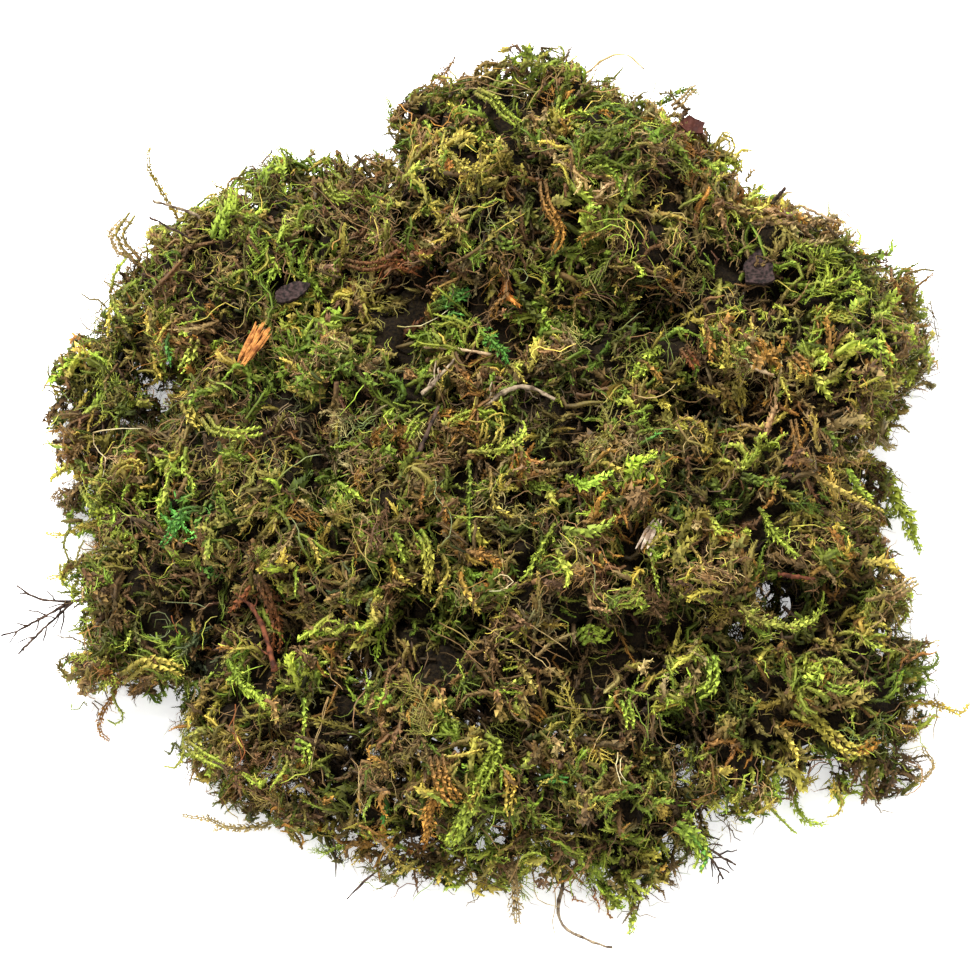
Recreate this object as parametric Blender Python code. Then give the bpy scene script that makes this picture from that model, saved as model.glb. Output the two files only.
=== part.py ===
"""Moss clump: a heap of dried forest moss, pulled off in matted tufts, with twigs, straw and bark in it.

It rests on z = 0, its front towards -Y, its tallest tuft at the back. Lengths are in metres."""

import math

import bmesh
import bpy
from mathutils import Matrix, Vector, noise
from mathutils.bvhtree import BVHTree

MM = 0.001

# Gaps between pieces that touch: tufts lie loosely against each other, litter lies close on them
TUFT_GAP = 2 * MM
REST_GAP = 0.35 * MM

# Seams between tufts wander to and fro
SEAM_WANDER = 5.5 * MM
SEAM_WANDER_PITCH = 30 * MM
SEAM_STEP = 1 * MM

# A tuft is a broad squashed dome, full above its widest level and tucked in below it
DOME_POWER = 2.4
WIDEST_LEVEL = 0.3
TUCK = 1.6
DOME_REACH = 88 * MM

# The heap's flank rounds off the tufts towards its outline, so that they slope down to the floor
FLANK_POWER = 3.0
FLANK_HEIGHT = 1.45
BLEND_POWER = 5.0
OUTLINE_MIDDLE = Vector((0.0, -12 * MM, 0.0))

# Lumps on a tuft: broad ones the size of a fingertip, and small ones the size of a shoot's tip
BROAD_LUMP_PITCH = 26 * MM
BROAD_LUMP_HEIGHT = 11 * MM
SMALL_LUMP_PITCH = 10 * MM
SMALL_LUMP_HEIGHT = 4 * MM

# How far a ray is walked at a time to find where it leaves a tuft
WALK_STEP = 2 * MM

# Above 1, a tuft's skin has more points near its top than near the floor
TOP_CROWDING = 1.25

# A flat place on a tuft whose faces meet at less than this is one face
FLAT_ANGLE = math.radians(0.5)

# The heap's outline seen from above, counterclockwise from the right, in millimetres
OUTLINE = (
    (137, 44), (135, 69), (120, 77), (108, 83), (92, 89), (74, 103), (59, 115), (44, 120), (25, 131),
    (8, 132), (-8, 130), (-20, 126), (-27, 116), (-30, 104), (-33, 96), (-45, 106), (-57, 106),
    (-71, 100), (-90, 92), (-116, 82), (-122, 65), (-133, 50), (-136, 26), (-130, -1), (-122, -27),
    (-124, -47), (-120, -68), (-105, -79), (-87, -70), (-89, -93), (-84, -110), (-62, -123),
    (-41, -121), (-33, -126), (-20, -132), (-6, -138), (7, -145), (19, -137), (40, -144), (62, -128),
    (76, -120), (84, -110), (96, -105), (114, -104), (129, -95), (135, -78), (125, -49), (116, -29),
    (120, 3), (128, 17),
)

# Each tuft: its place on the floor and its height in millimetres, how many points its skin has, and its
# share, which moves the seam with a neighbour away from it. The widest level is a share of the height, and the
# reach, in millimetres, is stated where it differs from DOME_REACH.
TUFTS = {
    "moss_tuft_crown": {
        "at": (21, 85), "height": 84, "points": 460, "share": 57, "level": 0.55, "reach": 64,
    },
    "moss_tuft_back_left": {"at": (-67, 60), "height": 56, "points": 410, "share": 46},
    "moss_tuft_left_edge": {"at": (-118, 40), "height": 35, "points": 140, "share": 23, "reach": 30},
    "moss_tuft_left": {"at": (-112, -12), "height": 41, "points": 250, "share": 32},
    "moss_tuft_front_left": {"at": (-102, -55), "height": 39, "points": 260, "share": 31},
    "moss_tuft_low_left": {"at": (-62, -93), "height": 41, "points": 290, "share": 36},
    "moss_tuft_centre": {"at": (-44, -14), "height": 58, "points": 460, "share": 52},
    "moss_tuft_middle": {"at": (26, -20), "height": 62, "points": 460, "share": 52},
    "moss_tuft_back_right": {"at": (92, 44), "height": 60, "points": 430, "share": 48},
    "moss_tuft_right": {"at": (90, -26), "height": 52, "points": 310, "share": 40},
    "moss_tuft_front_right": {"at": (101, -80), "height": 42, "points": 310, "share": 38},
    "moss_tuft_front": {"at": (-16, -104), "height": 44, "points": 340, "share": 40},
    "moss_tuft_low_right": {"at": (42, -108), "height": 41, "points": 320, "share": 40},
}

# Seams that stand open, so that the floor shows between two tufts, in millimetres
OPEN_SEAMS = {
    frozenset(("moss_tuft_crown", "moss_tuft_back_left")): 7,
    frozenset(("moss_tuft_back_left", "moss_tuft_left")): 16,
    frozenset(("moss_tuft_left_edge", "moss_tuft_back_left")): 8,
    frozenset(("moss_tuft_left_edge", "moss_tuft_left")): 5,
    frozenset(("moss_tuft_middle", "moss_tuft_low_right")): 4,
    frozenset(("moss_tuft_front", "moss_tuft_low_left")): 4,
}


def clear_scene():
    """Removes whatever the scene holds."""
    for obj in list(bpy.data.objects):
        bpy.data.objects.remove(obj, do_unlink=True)


# Materials


def principled(name, colour, roughness):
    """A plain Principled material, not metallic."""
    material = bpy.data.materials.new(name)
    material.use_nodes = True
    material.diffuse_color = (*colour, 1.0)
    shader = material.node_tree.nodes["Principled BSDF"]
    shader.inputs["Base Color"].default_value = (*colour, 1.0)
    shader.inputs["Roughness"].default_value = roughness
    shader.inputs["Metallic"].default_value = 0.0
    return material


def moss_green():
    return principled("moss_green", (0.145, 0.17, 0.035), 0.9)


def moss_olive():
    return principled("moss_olive", (0.12, 0.12, 0.03), 0.9)


def moss_brown():
    return principled("moss_brown", (0.1, 0.07, 0.025), 0.92)


def shoot_green():
    return principled("shoot_green", (0.22, 0.3, 0.05), 0.85)


def shoot_tan():
    return principled("shoot_tan", (0.3, 0.2, 0.08), 0.88)


def twig_dark():
    return principled("twig_dark", (0.04, 0.026, 0.018), 0.8)


def twig_grey():
    return principled("twig_grey", (0.2, 0.17, 0.13), 0.85)


def root_red():
    return principled("root_red", (0.17, 0.05, 0.02), 0.75)


def wood_orange():
    return principled("wood_orange", (0.45, 0.2, 0.07), 0.8)


def wood_pale():
    return principled("wood_pale", (0.5, 0.38, 0.24), 0.8)


def straw():
    return principled("straw", (0.55, 0.42, 0.2), 0.6)


def bark():
    return principled("bark", (0.07, 0.045, 0.032), 0.85)


def leaf_red():
    return principled("leaf_red", (0.16, 0.05, 0.03), 0.75)


# Moss tufts


def mm(*lengths):
    """A point given in millimetres, in metres."""
    return Vector(length * MM for length in lengths)


def spread_directions(count):
    """Unit directions over a sphere, each a golden angle round from the last, closer near the top."""
    golden_angle = math.pi * (3.0 - math.sqrt(5.0))
    directions = []
    for index in range(count):
        height = 1.0 - 2.0 * ((index + 0.5) / count) ** TOP_CROWDING
        radius = math.sqrt(1.0 - height * height)
        angle = golden_angle * index
        directions.append(Vector((radius * math.cos(angle), radius * math.sin(angle), height)))
    return directions


def tuft_middle(tuft):
    """The point that a tuft's skin surrounds: above its place, at its widest level."""
    level = tuft.get("level", WIDEST_LEVEL)
    return mm(*tuft["at"], tuft["height"] * level)


def outline_spokes():
    """The outline about its middle: (angle, distance) of each corner, sorted, with the ends repeated."""
    spokes = []
    for corner in OUTLINE:
        spoke = mm(*corner, 0) - OUTLINE_MIDDLE
        spokes.append((math.atan2(spoke.y, spoke.x), spoke.length))
    spokes.sort()
    before = (spokes[-1][0] - math.tau, spokes[-1][1])
    after = (spokes[0][0] + math.tau, spokes[0][1])
    return [before, *spokes, after]


def outline_reach(spokes, angle):
    """How far the outline is from its middle at an angle."""
    for (start, near), (end, far) in zip(spokes, spokes[1:]):
        if start <= angle < end:
            return near + (far - near) * (angle - start) / (end - start)
    return spokes[0][1]


def dome_level(tuft, point):
    """0 at the tuft's middle and 1 on its dome."""
    middle = tuft_middle(tuft)
    away = point - middle
    up = tuft["height"] * MM - middle.z if away.z > 0.0 else TUCK * middle.z
    reach = tuft.get("reach", DOME_REACH / MM) * MM
    flat = math.hypot(away.x, away.y) / reach
    return (flat**DOME_POWER + (abs(away.z) / up) ** DOME_POWER) ** (1.0 / DOME_POWER)


def flank_level(tuft, spokes, point):
    """Below 1 inside the heap's flank and 1 on it."""
    away = point - OUTLINE_MIDDLE
    flat = math.hypot(away.x, away.y) / outline_reach(spokes, math.atan2(away.y, away.x))
    tuck = max(0.0, 1.0 - point.z / tuft_middle(tuft).z)
    flat *= 1.0 + 0.07 * tuck * tuck
    steep = max(0.0, point.z) / (FLANK_HEIGHT * tuft["height"] * MM)
    return flat**FLANK_POWER + steep**2


def inside(tuft, spokes, point):
    """Whether a point is in both the tuft's dome and the heap's flank, blended where they meet."""
    return dome_level(tuft, point) ** BLEND_POWER + flank_level(tuft, spokes, point) ** BLEND_POWER < 1.0


def smooth_radius(tuft, spokes, direction):
    """How far from the tuft's middle its smooth form reaches in a direction."""
    middle = tuft_middle(tuft)
    near = 0.0
    while inside(tuft, spokes, middle + (near + WALK_STEP) * direction):
        near += WALK_STEP
    far = near + WALK_STEP
    for _ in range(8):
        half = (near + far) / 2.0
        if inside(tuft, spokes, middle + half * direction):
            near = half
        else:
            far = half
    return near


def lump_height(point):
    """How far the lumps raise or sink the skin at a point."""
    broad = noise.noise(point / BROAD_LUMP_PITCH)
    cell = noise.voronoi(point / SMALL_LUMP_PITCH)[0][0]
    return BROAD_LUMP_HEIGHT * broad + SMALL_LUMP_HEIGHT * (0.9 - 2.0 * cell)


def seams(name):
    """The planes that part a tuft from its neighbours: the normal to each, its distance, and the side."""
    own = tuft_middle(TUFTS[name])
    own_share = TUFTS[name]["share"] * MM
    found = []
    for other, tuft in TUFTS.items():
        if other == name:
            continue
        middle = tuft_middle(tuft)
        apart = (middle - own).length
        normal = (middle - own) / apart
        split = (apart**2 + own_share**2 - (tuft["share"] * MM) ** 2) / (2.0 * apart)
        gap = OPEN_SEAMS.get(frozenset((name, other)), TUFT_GAP / MM) * MM
        side = 1.0 if name < other else -1.0
        found.append((normal, split - gap / 2.0, side))
    return found


def past_seam(middle, seam, point):
    """How far a point is past a seam, which wanders about its plane alike for the tufts on both sides."""
    normal, distance, side = seam
    wander = SEAM_WANDER * noise.noise(point / SEAM_WANDER_PITCH)
    return normal.dot(point - middle) + side * wander - distance


def seam_radius(middle, seam, direction, radius):
    """Where a ray from a tuft's middle meets a seam, or the radius if that is nearer."""
    normal, distance, _ = seam
    lean = normal.dot(direction)
    if lean <= 0.0:
        return radius
    reach = max(0.0, (distance - SEAM_WANDER) / lean)
    short = past_seam(middle, seam, middle + reach * direction)
    while reach < radius and short < 0.0:
        reach += SEAM_STEP
        last, short = short, past_seam(middle, seam, middle + reach * direction)
        if short >= 0.0:
            reach -= SEAM_STEP * short / (short - last)
    return min(radius, reach)


def skin_radius(tuft, spokes, planes, direction):
    """The tuft's distance in a direction: its lumpy form, kept behind the seams and above the floor."""
    middle = tuft_middle(tuft)
    radius = smooth_radius(tuft, spokes, direction)
    radius = max(WALK_STEP, radius + lump_height(middle + radius * direction))
    for seam in planes:
        radius = seam_radius(middle, seam, direction, radius)
    if direction.z < 0.0:
        radius = min(radius, middle.z / -direction.z)
    return radius


def tuft_mesh(name):
    """One tuft's closed skin, about its middle: points spread over a sphere, each moved out to the skin."""
    tuft = TUFTS[name]
    planes = seams(name)
    spokes = outline_spokes()
    shell = bmesh.new()
    for direction in spread_directions(tuft["points"]):
        shell.verts.new(direction)
    bmesh.ops.convex_hull(shell, input=shell.verts)
    for vert in shell.verts:
        direction = vert.co.normalized()
        vert.co = skin_radius(tuft, spokes, planes, direction) * direction
        if vert.co.z < -tuft_middle(tuft).z + 1e-7:
            vert.co.z = -tuft_middle(tuft).z
    bmesh.ops.dissolve_limit(
        shell, angle_limit=FLAT_ANGLE, verts=shell.verts, edges=shell.edges, use_dissolve_boundaries=False
    )
    bmesh.ops.triangulate(shell, faces=shell.faces)
    bmesh.ops.recalc_face_normals(shell, faces=shell.faces)
    mesh = bpy.data.meshes.new(name)
    shell.to_mesh(mesh)
    shell.free()
    return mesh


class Heap:
    """What lies in the clump so far: its root, and the skins that a new piece must clear."""

    def __init__(self):
        self.root = bpy.data.objects.new("moss_clump", None)
        bpy.context.scene.collection.objects.link(self.root)
        self.points = []
        self.faces = []
        self.tree = None

    def add(self, name, mesh, place, material):
        """Puts a mesh into the clump as an object of its own."""
        mesh.materials.append(material)
        obj = bpy.data.objects.new(name, mesh)
        bpy.context.scene.collection.objects.link(obj)
        obj.parent = self.root
        obj.location = place
        first = len(self.points)
        self.points.extend(vert.co + place for vert in mesh.vertices)
        self.faces.extend(tuple(first + index for index in face.vertices) for face in mesh.polygons)
        self.tree = BVHTree.FromPolygons(self.points, self.faces)
        return obj

    def centre(self):
        """Moves the root so that the clump's box stands with the middle of its base at the origin."""
        lowest = Vector(min(point[axis] for point in self.points) for axis in range(3))
        highest = Vector(max(point[axis] for point in self.points) for axis in range(3))
        middle = (lowest + highest) / 2.0
        self.root.location = (-middle.x, -middle.y, -lowest.z)

    def blocked(self, mesh, place):
        """Whether a mesh at a place crosses what lies there, or the floor."""
        points = [vert.co + place for vert in mesh.vertices]
        if min(point.z for point in points) < 0.0:
            return True
        faces = [tuple(face.vertices) for face in mesh.polygons]
        return bool(self.tree.overlap(BVHTree.FromPolygons(points, faces)))

    def slid_in(self, mesh, place, away, start, past):
        """Where a mesh comes to rest when it is slid towards a place, from `start` away to `past` beyond it."""
        step = 0.4 * MM
        for index in range(int((start + past) / step)):
            offset = start - step * (index + 1)
            if self.blocked(mesh, place + offset * away):
                return place + (offset + step + REST_GAP) * away
        return place - past * away


def make_tufts(heap):
    """The matted tufts, greener towards the top and browner towards the edge."""
    green, olive, brown = moss_green(), moss_olive(), moss_brown()
    finishes = {
        "moss_tuft_crown": green,
        "moss_tuft_back_left": green,
        "moss_tuft_left_edge": brown,
        "moss_tuft_left": brown,
        "moss_tuft_front_left": olive,
        "moss_tuft_low_left": olive,
        "moss_tuft_centre": olive,
        "moss_tuft_middle": olive,
        "moss_tuft_back_right": green,
        "moss_tuft_right": olive,
        "moss_tuft_front_right": green,
        "moss_tuft_front": brown,
        "moss_tuft_low_right": olive,
    }
    for name, finish in finishes.items():
        heap.add(name, tuft_mesh(name), tuft_middle(TUFTS[name]), finish)


# Tubes and plates, from which the sprigs and the litter are made


def smooth_path(corners, steps):
    """Points along a curve through the corners, `steps` to each span."""
    padded = [2 * corners[0] - corners[1], *corners, 2 * corners[-1] - corners[-2]]
    points = []
    for before, start, end, after in zip(padded, padded[1:], padded[2:], padded[3:]):
        for index in range(steps):
            t = index / steps
            points.append(
                0.5
                * (
                    2 * start
                    + (end - before) * t
                    + (2 * before - 5 * start + 4 * end - after) * t * t
                    + (3 * start - before - 3 * end + after) * t**3
                )
            )
    points.append(corners[-1])
    return points


def add_tube(shell, path, thick, thin, sides):
    """A closed round-ended tube along a path, its radius easing from `thick` at the start to `thin`."""
    side = Vector((0.0, 0.0, 1.0))
    rings = []
    for index, point in enumerate(path):
        ahead = path[min(index + 1, len(path) - 1)] - path[max(index - 1, 0)]
        ahead.normalize()
        side = side - side.dot(ahead) * ahead
        if side.length < 1e-4:
            side = ahead.orthogonal()
        side.normalize()
        other = ahead.cross(side)
        part = index / (len(path) - 1)
        radius = thick + (thin - thick) * part
        ring = []
        for corner in range(sides):
            angle = math.tau * corner / sides
            spoke = math.cos(angle) * side + math.sin(angle) * other
            ring.append(shell.verts.new(point + radius * spoke))
        rings.append(ring)
    for ring, after in zip(rings, rings[1:]):
        for corner in range(sides):
            following = (corner + 1) % sides
            shell.faces.new((ring[corner], ring[following], after[following], after[corner]))
    shell.faces.new(list(reversed(rings[0])))
    shell.faces.new(rings[-1])


def mesh_of(shell, name):
    """A mesh from a shell, with its faces made triangles that face out."""
    bmesh.ops.recalc_face_normals(shell, faces=shell.faces)
    bmesh.ops.triangulate(shell, faces=shell.faces)
    mesh = bpy.data.meshes.new(name)
    shell.to_mesh(mesh)
    shell.free()
    mesh.shade_smooth()
    mesh.set_sharp_from_angle(angle=math.radians(50))
    return mesh


def tube_mesh(name, corners, thick, thin, sides=5, steps=2):
    """A tapering tube through corners given about the piece's own place."""
    shell = bmesh.new()
    add_tube(shell, smooth_path(corners, steps), thick, thin, sides)
    return mesh_of(shell, name)


def joined_tubes(name, tubes):
    """One closed body from several tubes that run into each other: (corners, thick, thin) each."""
    meshes = [tube_mesh(f"{name}_limb", corners, thick, thin) for corners, thick, thin in tubes]
    stem = bpy.data.objects.new(name, meshes[0])
    bpy.context.scene.collection.objects.link(stem)
    limbs = []
    for mesh in meshes[1:]:
        limb = bpy.data.objects.new(f"{name}_limb", mesh)
        limb.hide_render = True
        limb.display_type = "WIRE"
        bpy.context.scene.collection.objects.link(limb)
        union = stem.modifiers.new("limb", "BOOLEAN")
        union.operation = "UNION"
        union.object = limb
        limbs.append(limb)
    graph = bpy.context.evaluated_depsgraph_get()
    whole = bpy.data.meshes.new_from_object(stem.evaluated_get(graph))
    for obj in (stem, *limbs):
        bpy.data.objects.remove(obj, do_unlink=True)
    shell = bmesh.new()
    shell.from_mesh(whole)
    return mesh_of(shell, name)


def plate_mesh(name, outline, thickness, dish, turn=0.0):
    """A thin plate with a given outline, dished by `dish` at its edge and turned about Z."""
    shell = bmesh.new()
    middle = sum(outline, Vector((0.0, 0.0, 0.0))) / len(outline)
    widest = max((corner - middle).length for corner in outline)
    layers = []
    for level in (0.0, thickness):
        lift = Vector((0.0, 0.0, level))
        hub = shell.verts.new(middle + lift)
        rim = []
        for corner in outline:
            sink = dish * ((corner - middle).length / widest) ** 2
            rim.append(shell.verts.new(corner + lift + Vector((0.0, 0.0, sink))))
        layers.append((hub, rim))
    count = len(outline)
    for hub, rim in layers:
        for index in range(count):
            shell.faces.new((hub, rim[index], rim[(index + 1) % count]))
    low, high = layers[0][1], layers[1][1]
    for index in range(count):
        following = (index + 1) % count
        shell.faces.new((low[index], low[following], high[following], high[index]))
    bmesh.ops.rotate(shell, verts=shell.verts, cent=(0, 0, 0), matrix=Matrix.Rotation(turn, 3, "Z"))
    return mesh_of(shell, name)


def about_start(corners):
    """Corners in millimetres as metres about the first one, and that first one."""
    points = [mm(*corner) for corner in corners]
    return [point - points[0] for point in points], points[0]


UP = Vector((0.0, 0.0, 1.0))


def lay(heap, name, corners, thick, thin, material, sides=5, steps=2):
    """A tube dropped on the heap from above, its corners (x, y, z) in millimetres."""
    local, place = about_start(corners)
    mesh = tube_mesh(name, local, thick * MM, thin * MM, sides, steps)
    rest = heap.slid_in(mesh, place, UP, start=30 * MM, past=25 * MM)
    return heap.add(name, mesh, rest, material)


def stick_out(heap, name, corners, away, thick, thin, material, sides=5, steps=2):
    """A tube pushed into the edge of the heap from outside, along the direction `away` reversed."""
    local, place = about_start(corners)
    mesh = tube_mesh(name, local, thick * MM, thin * MM, sides, steps)
    rest = heap.slid_in(mesh, place, Vector(away).normalized(), start=30 * MM, past=8 * MM)
    return heap.add(name, mesh, rest, material)


# Sprigs that stand out from the edge

# A shoot's radius with its leaves, at its foot and at its tip, in millimetres
SHOOT_RADIUS = 1.25
TIP_RADIUS = 0.6

# Each green and each tan sprig: the direction it was pushed in from, and its corners, in millimetres
GREEN_SPRIGS = {
    "sprig_back_left_arch": ((-0.7, 1, 0), ((-90, 74, 24), (-94, 79, 28), (-97, 84, 33), (-96, 87, 38))),
    "sprig_crown_left": ((-1, 0.3, 0.2), ((-29, 103, 48), (-33, 106, 51), (-34, 109, 56))),
    "sprig_crown_top": ((0.5, 1, 0.3), ((50, 110, 48), (56, 112, 52), (62, 114, 54), (65, 111, 55))),
    "sprig_right_droop": ((1, 0, 0), ((124, -2, 20), (130, -8, 16), (135, -16, 10), (139, -24, 4))),
    "sprig_front_right_low": ((0, -1, 0), ((90, -112, 5), (91, -118, 4), (95, -123, 3), (99, -122, 3))),
    "sprig_front_tip": ((0, -1, 0), ((42, -154, 6), (41, -159, 5), (43, -164, 4))),
    "sprig_left_upper": ((-1, 0, 0), ((-128, -22, 14), (-134, -24, 13), (-139, -22, 12))),
    "sprig_left_lower": ((-1, -0.2, 0), ((-127, -31, 10), (-133, -35, 8), (-138, -36, 6))),
}
TAN_SPRIGS = {
    "sprig_left_loop": (
        (-1, 0.6, 0),
        ((-112, 74, 16), (-118, 77, 18), (-121, 83, 19), (-117, 88, 20), (-113, 85, 21)),
    ),
    "sprig_crown_right": ((1, 0.6, 0.2), ((68, 100, 38), (73, 104, 40), (77, 106, 44))),
    "sprig_right_hook": ((1, 0, 0), ((137, -80, 12), (142, -82, 11), (145, -79, 10), (144, -75, 10))),
    "sprig_front_right_ring": (
        (0.7, -1, 0),
        ((124, -104, 6), (131, -108, 6), (135, -104, 7), (132, -98, 8)),
    ),
    "sprig_low_left_long": (
        (-0.7, -1, 0),
        ((-70, -122, 6), (-78, -122, 5), (-86, -119, 4), (-94, -117, 3)),
    ),
    "sprig_front_left_hook": (
        (-0.4, -1, 0),
        ((-114, -80, 8), (-117, -85, 5), (-119, -91, 3), (-116, -94, 3)),
    ),
}


def make_sprigs(heap):
    """Loose moss shoots round the edge of the heap, each bent its own way."""
    green, tan = shoot_green(), shoot_tan()
    for name, (away, corners) in GREEN_SPRIGS.items():
        stick_out(heap, name, corners, away, SHOOT_RADIUS, TIP_RADIUS, green)
    for name, (away, corners) in TAN_SPRIGS.items():
        stick_out(heap, name, corners, away, SHOOT_RADIUS, TIP_RADIUS, tan)


def make_crown_stem(heap):
    """The bare thin stem that arches over the top of the crown."""
    corners = ((30, 112, 58), (36, 116, 60), (42, 116, 61), (47, 112, 59))
    stick_out(heap, "stem_crown_top", corners, (0.2, 1, 0.4), 0.7, 0.5, shoot_tan())


# Litter


def make_left_twig(heap):
    """The dark twig at the left, forked where it leaves the heap, its tips on the floor."""
    local, place = about_start(((-122, -44, 8), (-130, -43, 7), (-137, -39, 5), (-143, -33, 4)))
    branch, _ = about_start(((-122, -44, 8), (-129, -47, 6), (-140, -52, 3), (-150, -53, 2)))
    twig, _ = about_start(((-122, -44, 8), (-130, -51, 5), (-137, -58, 3), (-141, -64, 2)))
    mesh = joined_tubes(
        "twig_left",
        (
            (local, 1.0 * MM, 0.5 * MM),
            (branch, 0.9 * MM, 0.45 * MM),
            (twig, 0.8 * MM, 0.45 * MM),
        ),
    )
    rest = heap.slid_in(mesh, place, Vector((-1.0, 0.0, 0.1)).normalized(), start=30 * MM, past=8 * MM)
    heap.add("twig_left", mesh, rest, twig_dark())


def make_grey_fork(heap):
    """The grey twig with a short fork, lying between the centre and the middle tuft."""
    local, place = about_start(((-20, -4, 62), (-15, 2, 62), (-9, 9, 63)))
    fork, _ = about_start(((-20, -4, 62), (-16, 0, 62), (-15, 4, 64)))
    mesh = joined_tubes("twig_grey_fork", ((local, 1.0 * MM, 0.6 * MM), (fork, 0.8 * MM, 0.5 * MM)))
    heap.add("twig_grey_fork", mesh, heap.slid_in(mesh, place, UP, 30 * MM, 25 * MM), twig_grey())


def make_front_tangle(heap):
    """The thin dark twigs that cross at the front right."""
    local, place = about_start(((63, -128, 8), (70, -133, 7), (77, -136, 5), (84, -137, 4)))
    fork, _ = about_start(((63, -128, 8), (69, -136, 6), (72, -143, 4), (73, -149, 3)))
    mesh = joined_tubes("twig_front_tangle", ((local, 0.9 * MM, 0.5 * MM), (fork, 0.8 * MM, 0.5 * MM)))
    rest = heap.slid_in(mesh, place, Vector((0.5, -1.0, 0.0)).normalized(), start=30 * MM, past=8 * MM)
    heap.add("twig_front_tangle", mesh, rest, twig_dark())


def make_twigs(heap):
    """Sticks, roots and straws that lie on the heap: name, corners, radii at both ends and finish."""
    dark, grey, red, pale = twig_dark(), twig_grey(), root_red(), straw()
    sticks = (
        ("stick_back_left_upper", ((-92, 71, 36), (-104, 74, 38)), 0.9, 0.8, grey),
        ("stick_back_left_lower", ((-94, 64, 36), (-105, 70, 37)), 0.8, 0.6, dark),
        ("straw_pale", ((-20, 17, 60), (-10, 16, 60), (0, 14, 60)), 0.9, 0.8, pale),
        ("straw_stub", ((76, 8, 66), (84, 5, 65)), 0.9, 0.9, pale),
        ("straw_back_right", ((96, 70, 50), (108, 67, 45)), 0.9, 0.8, pale),
        ("twig_dark", ((-22, -27, 60), (-18, -17, 61), (-15, -9, 62)), 1.3, 0.9, dark),
        ("twig_lichen", ((-2, -8, 64), (5, -3, 66), (12, -2, 66), (19, -6, 66)), 1.3, 1.0, grey),
        ("twig_stub", ((87, 74, 52), (91, 78, 55)), 1.1, 1.0, dark),
        ("root_red_brown", ((-63, -83, 52), (-66, -72, 54), (-70, -63, 53), (-76, -56, 51)), 1.7, 0.9, red),
        ("stick_red", ((84, -56, 54), (95, -57, 53)), 1.1, 0.9, red),
    )
    for name, corners, thick, thin, finish in sticks:
        lay(heap, name, corners, thick, thin, finish)
    edge_sticks = (
        ("splinter_front", ((-34, -137, 5), (-40, -142, 4), (-45, -147, 3)), (-0.4, -1, 0), 1.3, 0.5, dark),
        ("thorn_front", ((-46, -126, 12), (-45, -131, 8), (-45, -136, 3)), (0, -1, 0), 0.9, 0.4, dark),
        ("stick_front", ((23, -149, 6), (32, -153, 5), (42, -154, 3)), (0, -1, 0), 1.0, 0.7, grey),
    )
    for name, corners, away, thick, thin, finish in edge_sticks:
        stick_out(heap, name, corners, away, thick, thin, finish)


def make_fronds(heap):
    """The dry orange frond and the brushy one at the front, as the tapering forms of their leaves."""
    tan = shoot_tan()
    lay(heap, "frond_dry", ((-10, -112, 42), (-14, -119, 38), (-18, -127, 32), (-19, -133, 26)), 2.6, 1.0, tan)
    stick_out(
        heap, "frond_brush", ((6, -144, 12), (7, -151, 8), (8, -157, 4)), (0, -1, 0), 1.2, 3.0, tan, sides=6
    )


def dropped_plate(heap, name, outline, thickness, dish, place, turn, material):
    """A plate dropped on the heap from above, its outline (x, y) in millimetres about its place."""
    corners = [mm(x, y, 0) for x, y in outline]
    mesh = plate_mesh(name, corners, thickness * MM, dish * MM, math.radians(turn))
    rest = heap.slid_in(mesh, mm(*place), UP, start=30 * MM, past=25 * MM)
    return heap.add(name, mesh, rest, material)


def make_flakes(heap):
    """Bark, wood and leaf scraps that lie on the heap."""
    dark_bark = bark()
    dropped_plate(
        heap, "bark_flake", ((-6, -1.5), (-2, -3), (3, -2.5), (6, 0), (4, 2.5), (-1, 3), (-5, 1.5)),
        1.2, 0.8, (-60, 37, 60), 25, dark_bark,
    )
    dropped_plate(
        heap, "bark_dark", ((-4.5, -4), (0, -6), (4, -4.5), (4.5, 2), (2, 6), (-2, 5), (-4.5, 1)),
        1.4, 1.2, (81, 43, 66), 10, dark_bark,
    )
    dropped_plate(
        heap, "wood_splinter_orange", ((-8, -1.2), (-2, -2.6), (6, -2.2), (8, 0.5), (3, 2.4), (-4, 1.6)),
        1.3, 0.6, (-71, 17, 62), 62, wood_orange(),
    )
    dropped_plate(
        heap, "wood_chip_pale", ((-6, -1.4), (0, -2.2), (6, -0.8), (5, 1.6), (-2, 2)),
        1.1, 0.4, (46, -50, 70), 62, wood_pale(),
    )
    dropped_plate(
        heap, "leaf_scrap_red", ((-4, -1.5), (0, -3.4), (4, -1.8), (3.2, 2), (0.5, 3), (-2.5, 2.6)),
        0.7, 1.6, (62, 91, 60), -20, leaf_red(),
    )


def main():
    clear_scene()
    heap = Heap()
    make_tufts(heap)
    make_sprigs(heap)
    make_crown_stem(heap)
    make_left_twig(heap)
    make_grey_fork(heap)
    make_front_tangle(heap)
    make_twigs(heap)
    make_fronds(heap)
    make_flakes(heap)
    heap.centre()


main()
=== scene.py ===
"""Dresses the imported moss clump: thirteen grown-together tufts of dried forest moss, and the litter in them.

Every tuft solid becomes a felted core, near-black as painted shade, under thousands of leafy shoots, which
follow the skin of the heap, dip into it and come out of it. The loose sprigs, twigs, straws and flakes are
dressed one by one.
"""

import logging
import math
from collections.abc import Iterable
from dataclasses import dataclass, field, fields, replace
from enum import Enum

import bmesh
import bpy
import numpy as np
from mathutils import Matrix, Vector
from mathutils.bvhtree import BVHTree


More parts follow.
